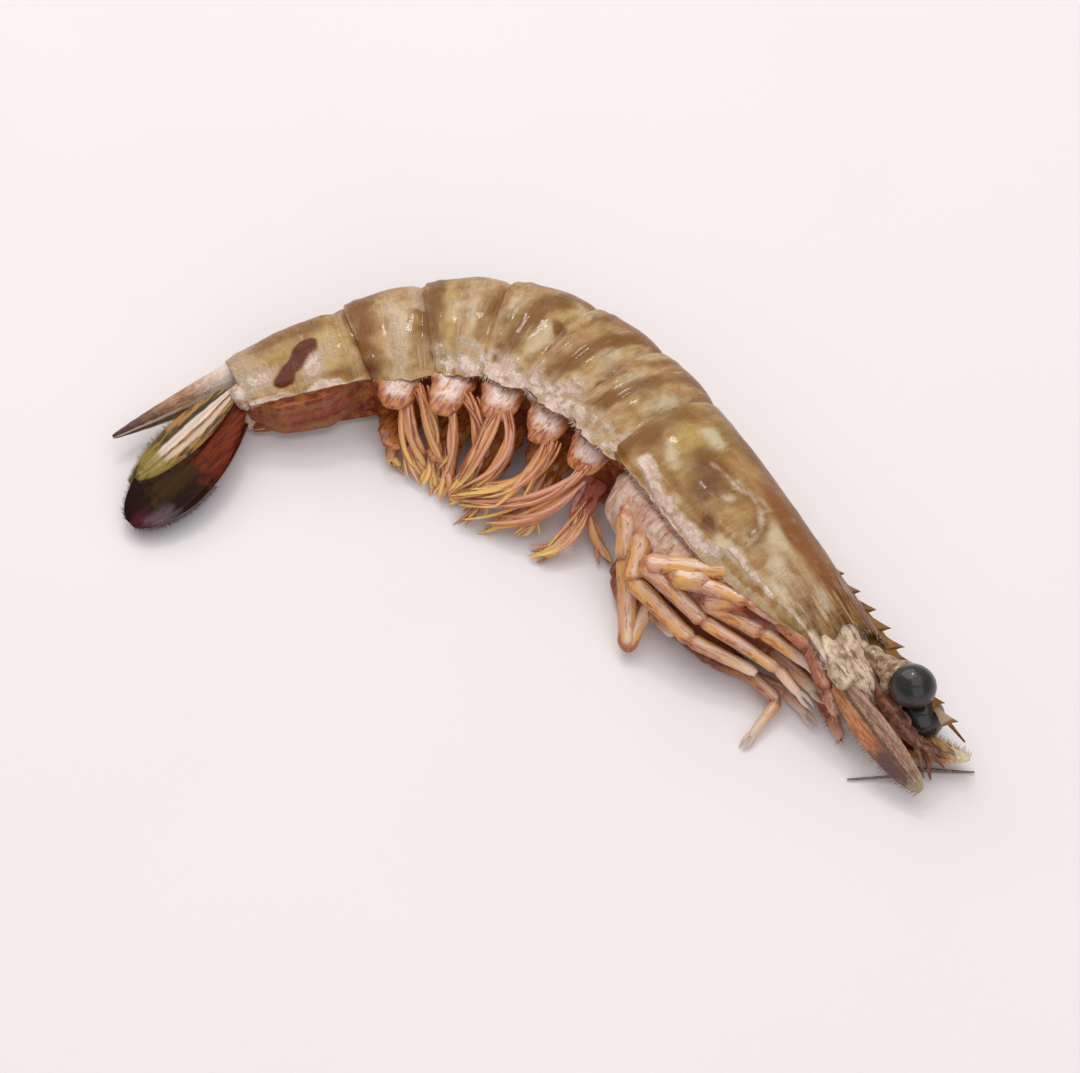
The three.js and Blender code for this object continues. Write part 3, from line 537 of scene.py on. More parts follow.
# Stains as strength, place (s, round), half length in mm and half width round the shell.
HEAD_STAINS = {
    "dark": [(0.6, 36, 0.84, 3.4, 0.06), (0.5, 10, 0.6, 3.5, 0.08), (0.6, 28.6, 0.81, 3.0, 0.06),
             (0.45, 24.0, 0.65, 1.8, 0.05)],
    "warm": [(0.5, 44, 0.8, 2.2, 0.06)],
    "plum": [(0.85, 34.0, 0.68, 3.0, 0.13), (1.1, 26.7, 0.85, 2.6, 0.06), (0.8, 8, 0.14, 6, 0.07),
             (0.5, 31.6, 0.73, 1.4, 0.05), (0.55, 14.4, 0.58, 2.0, 0.04),
             (0.5, 12, 0.68, 1.4, 0.03)],
    "gold": [(0.8, 42.0, 0.62, 3.0, 0.2), (0.5, 25, 0.66, 2.6, 0.07)],
    # Painted highlights: pale olive and cream spots on the head shell, the top of the lens among
    # them.
    "cool": [(1.1, 40.8, 0.5, 2.6, 0.07), (0.9, 41.5, 0.76, 2.5, 0.06),
             (1.0, 19.2, 0.53, 2.6, 0.06), (0.8, 22, 0.84, 3.0, 0.04), (0.7, 33.6, 0.87, 2.0, 0.03),
             (0.7, 15.5, 0.64, 1.6, 0.03), (0.9, 11, 0.72, 2.6, 0.05),
             (1.2, 29.6, 0.65, 1.8, 0.03)],
    "pale": [(0.5, 13, 0.62, 3.5, 0.09), (0.6, 7, 0.52, 2.2, 0.07)],
}
points = shell_part[0].reshape(*marks["along"].shape, 3)
s = marks["along"] + 1.3 * wander(points, 4, 11) + 0.6 * wander(points, 1.3, 13)
g = marks["round"] + 0.05 * wander(points, 4.5, 12)
dark, warm, plum, gold, cool, pale = (blots_at(s, g, rows) for rows in HEAD_STAINS.values())
top = 1 - smooth(0.2, 0.46, g)
dark += (0.55 + 0.4 * smooth(0.66, 0.8, g)) * band(s, 46.2, 1.9)
dark += 0.6 * smooth(16, 5, s) * (g < 0.66)
dark += 0.85 * top * smooth(48, 36, s) + 0.5 * band(s, 37.5, 3) * top
dark += 0.8 * drawn(marks, CROSS_GROOVE, 1.7) * smooth(30, 35, s)
dark += 0.8 * drawn(marks, STOMACH_RIM, 1.3) * (g < 0.7)
warm += 1.1 * hump(g, 0.38, 0.1) * smooth(34, 27, s) * smooth(2, 10, s)
# Painted highlight over the middle of the head shell's flank, towards the front.
cool += 0.3 * smooth(30, 20, s) * smooth(0.42, 0.52, g) * (1 - smooth(0.84, 0.92, g))
chalky = 1.3 * drawn(marks, GILL_RIDGE, 1.0) * smooth(23, 20, s)
chalky += 1.3 * sum(drawn(marks, path, 1.1, 4) for path in CHALK_CHIPS)
rim = drawn(marks, STOMACH_RIM, 0.55)
chalky += 0.6 * rim * (0.35 + 0.65 * smooth(0.66, 0.56, g) * smooth(21, 24, s))
# Painted highlight along the ridge of the diamond.
chalky += 0.7 * drawn(marks, HIGHLIGHT_RIDGE, 0.5)
chalky += 0.4 * drawn(marks, CROSS_GROOVE[2:] + EYE_RIM, 0.45)
pale += chalky * (0.7 + 0.55 * wander(points, 2.2, 15) + 0.5 * wander(points, 0.9, 16))
pale += 0.35 * (g > 0.93) * (g < 1.02) * smooth(44, 36, s)
pale = pale * (1 - 0.8 * np.clip(plum, 0, 1))
head_marks = {**marks, "dark": dark, "warm": warm, "cool": cool, "gold": gold, "plum": plum,
              "pale": pale}
points, faces, _ = shell_part
shell_part = (points, faces, {name: value.reshape(-1) for name, value in head_marks.items()})
beak_round = beak_part[2]["round"]
beak_along = beak_part[2]["along"]
beak_marks = {name: 0 * beak_round for name in SHELL_MARKS}
beak_marks |= {"along": beak_along, "round": beak_round,
               "dark": 0.6 + 0.6 * smooth(-4, -12, beak_along),
               "warm": 0.3 * smooth(0, -14, beak_along),
               "plum": 0.7 * smooth(-13, -19, beak_along)}
beak_part = (*beak_part[:2], beak_marks)

head_shell = piece("head_shell", [shell_part, beak_part], horn)
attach(head_shell, "root")
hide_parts("carapace")

# ---------------------------------------------------------------- tail shells
# Six horny rings in a row, each lapped over the one behind it and hinged at mid flank. The first
# five hang a soft-edged lobe over the swimming legs, and the last is longer and closed below.
LOBE = 1.7
# Bands of the tail along the body, each with half its width and its strength. The thin ones at 59.7
# and 71.7 are painted shade in the hinges between shells.
BROWN_BANDS = [(55.6, 1.5, 0.75), (59.7, 0.55, 0.6), (66.2, 2.0, 0.95), (71.7, 0.5, 0.6),
               (78.4, 2.1, 0.95), (85.4, 1.5, 0.6), (95.4, 2.0, 0.95), (107.0, 2.0, 0.95)]
GOLD_BANDS = [(62.8, 1.6, 0.5), (74.4, 1.4, 0.7), (92.8, 1.8, 0.8), (113.5, 1.6, 0.7)]
# Spots and stains as strength, place (s, round), half length in mm and half width round the shell.
DARK_SPOTS = [(1.3, s, g, 1.3, 0.035) for s, g in
              ((74.2, 0.67), (68.2, 0.87), (56.2, 0.83), (80.5, 0.88), (93.5, 0.9))]
DARK_SPOTS += [(0.7, 55, 0.92, 2.0, 0.04), (0.5, 66, 0.55, 1.2, 0.05)]
# Cream spots: painted highlights on the tail shells.
CREAM_SPOTS = [(0.8, s, g, 1.6, 0.1) for s, g in
               ((92, 0.68), (88.8, 0.71), (75.2, 0.77), (73.2, 0.47), (63.8, 0.62), (57.5, 0.66),
                (51, 0.6), (82.5, 0.6), (100.5, 0.7))]
# Pale spots; the first, beside the maroon slash on the last shell, is a painted highlight.
PALE_SPOTS = [(1.1, 117.0, 0.83, 1.9, 0.11), (0.55, 125, 0.82, 3.5, 0.08),
              (0.5, 113.4, 0.74, 1.6, 0.1)]
MAROON_SLASH = [(116.6, 0.7), (122.6, 0.9)]
FLANK_LINE = [(110, 0.7), (128, 0.7)]
start = HEAD_LENGTH
for i, (length, _) in enumerate(TAIL_STRETCHES[:6]):
    end = start + length
    last = i == 5
    lobe = 0.3 if last else LOBE

    def front(g, at=start):
        return np.full_like(g, at - 1.9)

    def rear(g, at=end, bow=0.0 if last else 0.9):
        return at + 0.3 + bow * np.sin(np.clip(g, 0, 1) * math.pi) ** 2 - 0.5 * smooth(0.9, 1, g)

    stations = []
    for t in np.linspace(0, 1, 34 if not last else 52):
        grow = 0.9 + 0.06 * smooth(0, 0.2, t) + 0.045 * smooth(0.12, 0.6, t)
        stations.append((t, 0, grow, 0, lobe * math.sin(math.pi * t) ** 0.7))
    stations += [(1, 0.04, 1.005, 0.12, 0), (1, 0.04, 1.005, 0.35, 0), (1, -0.3, 1.005, 0.6, 0),
                 (1, -2.0, 1.005, 0.8, 0)]

    def recess(t, last=last):
        """How far the belly lies above the lower edges; the last shell's bulges below them."""
        return 0.6 - 1.2 * smooth(0.1, 0.5, t) + 1.0 * smooth(0.78, 1, t) if last else 0.6

    grid, marks = shell(front, rear, stations, 56, 0.12 if last else 0.38, recess)
    s, g = marks["along"], marks["round"]
    share = np.clip((s - start) / length, 0, 1)
    flat = 1 - smooth(0.98, 1.02, g)
    relief = 0.09 * wander(grid, 2.6, 21 + i) + 0.035 * wander(grid, 0.9, 31 + i)
    relief += (0.1 if last else 0.3) * np.sin(share * math.pi) ** 1.5 * (1 - smooth(0.8, 0.95, g))
    relief -= 0.4 * hump(share, 0.14, 0.05) * (1 - smooth(0.7, 0.85, g))
    relief -= 0.22 * hump(share, 0.62, 0.06) * smooth(0.25, 0.45, g) * (not last)
    relief += 0.22 * hump(share, 0.93, 0.05) + 0.5 * hump(g, 0, 0.035) * smooth(84, 104, s)
    relief += 0.22 * hump(g, 0.9, 0.02) * smooth(0.2, 0.4, share)
    if last:
        relief += 0.3 * drawn(marks, FLANK_LINE, 0.6)
    else:
        bar = hump(share, 0.5, 0.22) * smooth(1.25, 1.4, g)
        relief = relief + 0.9 * bar * (g > 1.02)
        flat = np.where(g > 1.02, 1.0, flat)
    grid = grid + normals(grid) * (relief * flat)[..., None]

    slant = 7 * smooth(98, 84, s)
    across = s - slant * (np.minimum(g, 1) - 0.6) + 1.1 * wander(grid, 3.5, 41)
    across += 0.6 * wander(grid, 1.2, 43)
    low = g + 0.04 * wander(grid, 2.2, 44)
    dark = sum(strong * band(across, at, half * 1.2) for at, half, strong in BROWN_BANDS)
    dark = dark * (1 - 0.75 * smooth(0.84, 0.96, low)) + 0.35 * (1 - smooth(0.16, 0.4, low))
    # The band just behind each shell's front edge is painted shade where the shell before laps over
    # it.
    dark += blots_at(s, low, DARK_SPOTS) + 0.4 * band(s, start + 1.2, 0.7) * (low < 0.8)
    dark += 0.45 * smooth(0.62, 0.7, low) * (1 - smooth(0.72, 0.8, low)) * band(s, 62, 1.6)
    gold = sum(strong * band(across, at, half) for at, half, strong in GOLD_BANDS)
    patchy = 0.72 + 0.7 * wander(grid, 2.4, 45) + 0.6 * wander(grid, 0.9, 46)
    pale = smooth(0.8, 0.96, low) * (1 - smooth(92, 99, s)) * 1.05 * patchy
    pale += 0.3 * band(across, 88.5, 1.6) * (low < 0.85) + 0.35 * band(across, 61.5, 1.0)
    pale += 0.4 * band(s, 102, 2.4) * smooth(0.4, 0.6, low) + 0.5 * band(s, 98, 1.2) * (low < 0.66)
    pale += blots_at(s, low, PALE_SPOTS) + 0.45 * smooth(122, 128, s) * (low < 0.95)
    pale += smooth(0.962, 0.982, low) * smooth(108, 112, s) * 0.9
    worn = 1.6 + 0.5 * wander(grid, 1.6, 47) - 0.5 * smooth(117, 124, s)
    plum = drawn(marks, MAROON_SLASH, worn, 4) * (s > 108) * 1.4
    pale = np.minimum(pale, 1.15) * (1 - 0.95 * np.clip(plum, 0, 1))
    plum += blots_at(s, low, [(0.9, 107.4, 0.94, 1.8, 0.06)])
    warm = blots_at(s, low, [(0.8, 113, 0.94, 3, 0.03)]) + 0.35 * band(across, 107, 2.6)
    warm += 0.7 * smooth(0.93, 0.99, low) * band(s, 91, 3.5) + 1.0 * plum * (s > 112)
    warm += 0.5 * smooth(0.1, 0.24, low) * (1 - smooth(0.26, 0.5, low))
    warm += 0.35 * band(across, 70, 2.2)
    if last:
        dark += 0.6 * (1 - smooth(0.5, 0.68, low)) * smooth(110, 114, s)
        gold += 0.7 * drawn(marks, FLANK_LINE, 1.4)
    # Painted highlights: cream spots and a soft band over the fifth shell.
    cool = blots_at(across + 7 * (low - 0.6) * (s < 90), low, CREAM_SPOTS)
    cool += 0.35 * band(s, 102, 2.5) * smooth(0.3, 0.5, low)
    marks |= {"dark": dark, "warm": warm, "cool": cool, "gold": gold, "plum": plum, "pale": pale}
    ring = piece(f"tail_shell_{i + 1}", [part(grid, marks)], horn)
    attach(ring, "root")
    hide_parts(f"segment_{i + 1}")
    start = end


# ---------------------------------------------------------------- soft fringe of the tail shells
# Short pale hairs along the loose lower edges of the tail's first five shells and of the head
# shell, and stiffer ones round the eye socket. Each grows from the shell's edge and lies wet.
BRISTLE_SIZES = {"Spacing": "NodeSocketFloat", "Thickness": "NodeSocketFloat",
                 "Bend": "NodeSocketFloat", "Spread": "NodeSocketFloat", "Seed": "NodeSocketInt",
                 "Finish": "NodeSocketMaterial"}


def bristle_tree():
    """Tapered hairs set out along paths that carry a way out and a reach, as one mesh."""
    tree = bpy.data.node_groups.new("bristles", "GeometryNodeTree")
    tree.interface.new_socket("Paths", in_out="INPUT", socket_type="NodeSocketGeometry")
    for name, kind in BRISTLE_SIZES.items():
        tree.interface.new_socket(name, in_out="INPUT", socket_type=kind)
    tree.interface.new_socket("Hairs", in_out="OUTPUT", socket_type="NodeSocketGeometry")
    bench = Bench(tree)

    def given(name):
        return bench.node("NodeGroupInput", out=name)

    def chance(low, high, shift):
        return bench.node("FunctionNodeRandomValue", {"data_type": "FLOAT"},
                          {2: low, 3: high, 8: given("Seed") + shift}, out=1)

    run = bench.node("GeometryNodeSplineParameter")
    end = bench.node("ShaderNodeCombineXYZ", None, {0: given("Bend"), 2: 0.95})
    stem = bench.node("GeometryNodeCurveQuadraticBezier", None,
                      {"Resolution": 6, "Start": (0, 0, 0), "Middle": (0, 0, 0.5), "End": end})
    stem = bench.node("GeometryNodeStoreNamedAttribute", {"data_type": "FLOAT", "domain": "POINT"},
                      {"Geometry": stem, "Name": "along", "Value": run})
    ring = bench.node("GeometryNodeCurvePrimitiveCircle", None, {"Resolution": 4, "Radius": 1.0})
    hair = bench.node("GeometryNodeCurveToMesh", None,
                      {"Curve": stem, "Profile Curve": ring, "Fill Caps": True,
                       "Scale": given("Thickness") * (1.04 - run**2.0) * 0.5})
    paths = bench.node("GeometryNodeMeshToCurve", None, {"Mesh": given("Paths")})
    roots = bench.node("GeometryNodeResampleCurve", {"mode": "LENGTH"},
                       {"Curve": paths, "Length": given("Spacing")})
    out = bench.node("GeometryNodeInputNamedAttribute", {"data_type": "FLOAT_VECTOR"},
                     {"Name": "out"})
    reach = bench.node("GeometryNodeInputNamedAttribute", {"data_type": "FLOAT"},
                       {"Name": "reach"})
    shake = bench.node("FunctionNodeRandomValue", {"data_type": "FLOAT_VECTOR"},
                       {0: (-1, -1, -1), 1: (1, 1, 1), 8: given("Seed")})
    shake = bench.node("ShaderNodeVectorMath", {"operation": "SCALE"},
                       {0: shake, "Scale": given("Spread")})
    way = bench.node("ShaderNodeVectorMath", {"operation": "ADD"}, {0: out, 1: shake})
    turn = bench.node("FunctionNodeAlignRotationToVector", {"axis": "Z"}, {"Vector": way})
    roll = bench.node("FunctionNodeAxisAngleToRotation", None,
                      {"Axis": (0, 0, 1), "Angle": chance(0.0, 2 * math.pi, 1)})
    turn = bench.node("FunctionNodeRotateRotation", {"rotation_space": "LOCAL"},
                      {"Rotation": turn, "Rotate By": roll})
    hairs = bench.node("GeometryNodeInstanceOnPoints", None,
                       {"Points": roots, "Instance": hair, "Rotation": turn,
                        "Scale": reach * chance(0.65, 1.15, 2)})
    hairs = bench.node("GeometryNodeStoreNamedAttribute",
                       {"data_type": "FLOAT", "domain": "INSTANCE"},
                       {"Geometry": hairs, "Name": "tone", "Value": chance(0.0, 1.0, 3)})
    hairs = bench.node("GeometryNodeRealizeInstances", None, {"Geometry": hairs})
    hairs = bench.node("GeometryNodeSetMaterial", None,
                       {"Geometry": hairs, "Material": given("Finish")})
    bench.node("NodeGroupOutput", None, {0: hairs})
    return tree


BRISTLES = bristle_tree()


def bristles(name, rows, **sizes):
    """Hairs along rows of (points, ways out, reaches) in mm, made a plain mesh."""
    points, edges, outs, reaches = [], [], [], []
    for path, out, reach in rows:
        first = len(points)
        points += (np.asarray(path, float) * MM).tolist()
        out = np.broadcast_to(out, np.shape(path))
        outs += (out / np.linalg.norm(out, axis=-1, keepdims=True)).tolist()
        reaches += (np.broadcast_to(reach, len(path)) * MM).tolist()
        edges += [(i, i + 1) for i in range(first, len(points) - 1)]
    mesh = bpy.data.meshes.new(name)
    mesh.from_pydata(points, edges, [])
    mesh.attributes.new("out", "FLOAT_VECTOR", "POINT").data.foreach_set("vector", sum(outs, []))
    mesh.attributes.new("reach", "FLOAT", "POINT").data.foreach_set("value", reaches)
    made = bpy.data.objects.new(name, mesh)
    bpy.context.scene.collection.objects.link(made)
    grow = made.modifiers.new("bristles", "NODES")
    grow.node_group = BRISTLES
    for item in BRISTLES.interface.items_tree:
        if item.name in sizes:
            grow[item.identifier] = sizes[item.name]
    shown = made.evaluated_get(bpy.context.evaluated_depsgraph_get())
    hairs = bpy.data.meshes.new_from_object(shown)
    made.modifiers.remove(grow)
    made.data = hairs
    hairs.name = name
    flat = np.zeros(len(hairs.vertices) * 3)
    hairs.vertices.foreach_get("co", flat)
    flat[2::3] = np.maximum(flat[2::3], 0.05 * MM)
    hairs.vertices.foreach_set("co", flat)
    hairs.polygons.foreach_set("use_smooth", [True] * len(hairs.polygons))
    hairs.update()
    return made


def hair_horn(name, light, dark, tip=None, tipped=0.5, rough=0.35, ior=1.5, coat=(0.3, 0.2)):
    """Hairs between two colours, where tip is given with paler ends."""
    made = Finish(name, **{"IOR": ior, "Coat Weight": coat[0], "Coat Roughness": coat[1]})
    colour = made.blend(made.mark("tone"), light, dark)
    if tip:
        colour = made.blend(made.mark("along").rise(0.5, 1.0) * tipped, colour, tip)
    fine = made.grain(0.3, 3)
    return made.close(colour, fine * 0.2 + rough, fine, 0.05)


pale_hair = hair_horn("pale_hair", "d9c4b4", "b98f6a", "f0e6dc")
rows = []
start = HEAD_LENGTH
for i, (length, _) in enumerate(TAIL_STRETCHES[:5]):
    share = np.linspace(0.06, 0.96, 24)
    s = start + length * share
    drop = LOBE * np.sin(math.pi * share) ** 0.7
    for side in (-1, 1):
        up, out = outside(s, side * np.full(len(s), 0.97), 1.0, 0.0, drop)
        up, low_out = outside(s, side * np.full(len(s), 1.0), 1.0, 0.25, drop)
        edge = beside(s, up + 0.3, low_out)
        down = beside(s, up - 1, low_out - side * 0.35) - edge
        rows.append((edge, down, 0.9 + 0.3 * np.sin(share * 9)))
    start += length
s = np.linspace(44, 8, 90)
up, out = outside(s, np.full(len(s), 1.0), 1.0, 0.25)
edge = beside(s, up + 0.3, out)
rows.append((edge, beside(s + 0.3, up - 1, out - 0.3) - edge, 0.7))
fringe = bristles("shell_fringe", rows, Spacing=0.16 * MM, Thickness=0.11, Bend=0.25, Spread=0.35,
                  Seed=4, Finish=pale_hair)
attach(fringe, "root")

# ---------------------------------------------------------------- flesh under the head shell
# The soft keel of the thorax, between the gills, that the walking legs grow from. It is wet, pink
# flesh with a knob for each leg, and it shows in the gap under the head shell.
FLOOR_CENTRE = np.array([0.24, 1.72, 0.0])
THORAX = {"front": 8.0, "rear": 46.0, "keel": 13.6, "half": 4.0}
LEG_STATIONS = (15.0, 20.0, 26.0, 33.0, 38.0)


def rounded(ring, times=2):
    """A closed ring of points with its corners cut, twice as many points each time."""
    for _ in range(times):
        after = np.roll(ring, -1, axis=0)
        ring = np.stack([ring * 0.75 + after * 0.25, ring * 0.25 + after * 0.75], 1)
        ring = ring.reshape(-1, ring.shape[-1])
    return ring


rings, along = [], []
for t in np.linspace(0, 1, 84):
    s = THORAX["front"] + (THORAX["rear"] - THORAX["front"]) * t
    edge = profile(s, EDGE)
    wide = profile(s, HALF) * 0.8
    close_up = math.sqrt(max(0.02, 1 - smooth(0.9, 1.02, t) - 0.5 * smooth(0.06, 0.0, t)))
    depth = (edge + 1 + (THORAX["keel"] - edge - 1) * math.sin(t * math.pi * 0.62)) * 0.99
    depth = edge + (depth - edge) * close_up
    half = THORAX["half"] * (0.75 + 0.25 * math.sin(t * math.pi)) * (0.6 + 0.4 * close_up)
    flank = half + (wide - 0.9 - half) * 0.8 * smooth(0.1, 0.5, t) * close_up
    knob = max(math.exp(-(((s - at) / 1.6) ** 2)) for at in LEG_STATIONS)
    right = [(-edge + 2.0, wide * 0.42), (-edge + 2.2, min(wide - 1.8, half + 1.6)),
             (-edge + 0.1, flank + 0.3 * knob),
             (-(edge + depth) / 2, (flank + half) / 2 + 0.8 * knob),
             (-depth + 0.7, half * 0.8 + 0.6 * knob), (-depth, half * 0.25)]
    ring = rounded(np.array(right + [(up, -side) for up, side in right[::-1]]))
    rings.append(beside(s, ring[:, 0], ring[:, 1]))
    along.append(np.full(len(ring), s))
grid = np.array(rings)
lumps = 0.22 * wander(grid, 1.6, 51) + 0.1 * wander(grid, 0.7, 52)
grid = grid + normals(grid) * lumps[..., None]

FLESH = {"tan": "c49a7c", "pale": "e2c6b4", "red": "9c5236", "olive": "a88c62", "pink": "cb917c"}
flesh = Finish("wet_flesh", **WET)
blots, fine, cloud = flesh.grain(1.8, 3), flesh.grain(0.4, 4), flesh.grain(4.0, 3)
folds = flesh.grain(1.0, 3, 0.55, flesh.spot((1.0, 4.5, 4.0), math.radians(-20)))
colour = flesh.blend(blots.rise(0.35, 0.62), FLESH["tan"], FLESH["pale"])
colour = flesh.paint(
    colour, (cloud.rise(0.45, 0.62) * 0.7, FLESH["pink"]),
    (folds.rise(0.52, 0.66) * 0.65, FLESH["red"]), (folds.rise(0.44, 0.34) * 0.6, FLESH["olive"]),
    (fine.rise(0.58, 0.7) * 0.5, "e3d2c6"))
# Deep red towards the front: partly the flesh's own red, partly painted shade between the legs.
front = (flesh.mark("along") + (cloud - 0.5) * 14).rise(27, 17)
colour = flesh.blend(front * 0.85, colour, "8a3a24")
flesh = flesh.close(colour, 0.26 + fine * 0.2, blots * 0.5 + fine * 0.5 + folds, 0.35)
keel = piece("thorax_keel", [part(grid, {"along": np.array(along)})], flesh)
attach(keel, "root")
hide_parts("thorax")

# ---------------------------------------------------------------- front of the head
# The soft block between the eye sockets that carries the eyes and the feelers. It is flesh under a
# thin skin, fixed all round inside the head shell.
CORE = [(5.0, 10.4, -1.6, 5.6), (2.0, 10.0, -0.6, 5.2), (0.2, 9.4, 0.4, 4.5), (-2, 9.0, 0.4, 4.2),
        (-4.0, 8.6, 0.6, 3.8), (-5.5, 8.2, 0.8, 3.4), (-7.2, 7.5, 1.6, 2.7), (-8, 7.0, 2.2, 2.0),
        (-8.5, 6.2, 3.2, 0.9)]
angle = np.linspace(0, 2 * math.pi, 36, endpoint=False)
rings, along = [], []
for k in np.linspace(0, len(CORE) - 1, 40):
    s, top, bottom, half = (np.interp(k, range(len(CORE)), np.array(CORE)[:, i]) for i in range(4))
    up = (top + bottom) / 2 + (top - bottom) / 2 * np.cos(angle)
    rings.append(beside(s, up, half * np.sin(angle)))
    along.append(np.full(36, s))
grid = np.array(rings)
lumps = 0.22 * wander(grid, 2.0, 61) + 0.12 * wander(grid, 0.8, 62)
grid = grid + normals(grid) * lumps[..., None]
mottled = Finish("mottled_skin", **WET)
blots, fine = mottled.grain(1.4, 4), mottled.grain(0.35, 4)
folds = mottled.grain(1.0, 4, 0.6, mottled.spot((3.0, 0.6, 1.0), HEAD_HEADING))
colour = mottled.blend(blots.rise(0.38, 0.6), "b89876", "e2c8aa")
colour = mottled.paint(
    colour, (folds.rise(0.5, 0.62) * 0.8, "5a3c28"), (folds.rise(0.42, 0.34) * 0.55, "e6d6c2"),
    (fine.rise(0.58, 0.7) * 0.6, "6d452e"))
mottled = mottled.close(colour, 0.28 + fine * 0.2, folds + blots * 0.5 + fine * 0.5, 0.16)
core = piece("head_core", [part(grid, {"along": np.array(along)})], mottled)
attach(core, "root")
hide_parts("head")


# ---------------------------------------------------------------- eyes and their stalks
# Two black, many-faceted eyes, each the end of a short fleshy stalk that flares into a cup under
# the eye. The near eye stands over the beak's side and the far one lies on the floor side.
def across_of(direction, wanted):
    """Two unit vectors square to each direction, the first as near as it can be to the wanted."""
    first = wanted - direction * (direction * wanted).sum(-1, keepdims=True)
    first = first / np.linalg.norm(first, axis=-1, keepdims=True)
    return first, np.cross(direction, first)


def directions(path):
    d = np.gradient(path, axis=0)
    return d / np.linalg.norm(d, axis=-1, keepdims=True)


def tube(path, radii, flat=1.0, sides=12, wanted=(0.11, 0.07, 1.0), joint=0.0, tone=0.5):
    """Closed tube along a path, thinner along the wanted way by flat."""
    thin, wide = across_of(directions(path), np.array(wanted, float))
    turn = np.linspace(0, 2 * math.pi, sides, endpoint=False)
    grid = path[:, None] + (np.outer(radii, np.cos(turn))[..., None] * wide[:, None]
                            + np.outer(radii * flat, np.sin(turn))[..., None] * thin[:, None])
    run = np.concatenate([[0], np.cumsum(np.linalg.norm(np.diff(path, axis=0), axis=1))])
    marks = {"along": run, "end": run / run[-1], "joint": np.zeros(len(run)) + joint,
             "tone": np.zeros(len(run)) + tone}
    marks = {name: np.repeat(value[:, None], sides, 1) for name, value in marks.items()}
    return part(grid, marks | {"round": np.repeat(np.cos(turn)[None], len(path), 0)})


EYES = {"right": (-11.7, 9.2, 12.2, (4.0, 3.4, 3.5), 1),
        "left": (-12.9, 10.3, 4.7, (3.9, 3.3, 3.6), -1)}
ball = Finish("black_eye", **{"IOR": 1.36, "Coat Weight": 0.7, "Coat Roughness": 0.06})
facets = ball.freckle(0.14)
blots = ball.grain(1.4, 3)
colour = ball.blend(blots.rise(0.35, 0.65), "0e0b08", "241b13")
colour = ball.blend(ball.mark("end").rise(0.8, 1.0) * 0.7, colour, "3d3020")
ball = ball.close(colour, 0.3 + blots * 0.14, facets + blots * 0.6, 0.04)
stalk_skin = Finish("stalk_skin", **WET)
blots, fine = stalk_skin.grain(1.2, 4), stalk_skin.grain(0.3, 4)
colour = stalk_skin.blend(blots.rise(0.4, 0.6), "b59d76", "7a5236")
colour = stalk_skin.blend(fine.rise(0.54, 0.68) * 0.6, colour, "55301f")
stalk_skin = stalk_skin.close(colour, 0.26 + fine * 0.15, blots + fine * 0.6, 0.2)
for name, (s, up, z, radii, sign) in EYES.items():
    root = beside(-1.5, 7.6, sign * 2.0)
    end = place(s + 2, up - 0.6, z - sign * 0.8)
    centre = place(s, up, z)
    axis = (end - centre) / np.linalg.norm(end - centre)
    first, second = across_of(axis, np.array((0.1, 0.05, 1.0)))
    rings = []
    latitude = np.linspace(0.02, math.pi - 0.02, 40)
    turn = np.linspace(0, 2 * math.pi, 48, endpoint=False)
    for a in latitude:
        spread = math.sin(a) * (1 + 0.03 * math.cos(a))
        rings.append(centre - axis * math.cos(a) * radii[0]
                     + np.outer(np.cos(turn), first) * spread * radii[1]
                     + np.outer(np.sin(turn), second) * spread * radii[2])
    grid = np.array(rings)
    marks = {"end": np.repeat(latitude[:, None] / math.pi, 48, 1)}
    eye = piece(f"eye_{name}_ball", [part(grid, marks)], ball)
    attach(eye, "root")
    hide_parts(f"eye_{name}")
    t = np.linspace(0, 1, 26)[:, None]
    path = root * (1 - t) + end * t + np.array([0, 0, 0.5 * sign]) * np.sin(t * math.pi)
    flare = 1.5 + 0.35 * np.sin(t[:, 0] * 9) ** 2 + 1.5 * smooth(0.45, 0.95, t[:, 0])
    flare[-1] = 2.2
    flare[0] = 0.8
    stalk = piece(f"eye_{name}_stalk", [tube(path, flare, 0.92, 20)], stalk_skin)
    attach(stalk, "root")
    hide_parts(f"eyestalk_{name}")


# ---------------------------------------------------------------- feelers and their scales
# On each side a jointed base, a broad stiff scale with a ribbed outer edge, and above it a jointed
# inner feeler that ends in two short whips. All are horn, hinged to the front of the head.
def bezier(path, t):
    """Points of the curve that starts and ends on the path's ends and leans to its middle."""
    a, b, c = (np.asarray(p, float) for p in path)
    t = np.asarray(t)[:, None]
    return a * (1 - t) ** 2 + b * 2 * t * (1 - t) + c * t * t


def leaf_width(t, root, widest):
    before = root + (1 - root) * np.sin(np.clip(t / widest, 0, 1) * math.pi / 2)
    after = np.sqrt(np.clip(1 - ((t - widest) / (1 - widest)) ** 2, 0, 1))
    return np.where(t < widest, before, after)


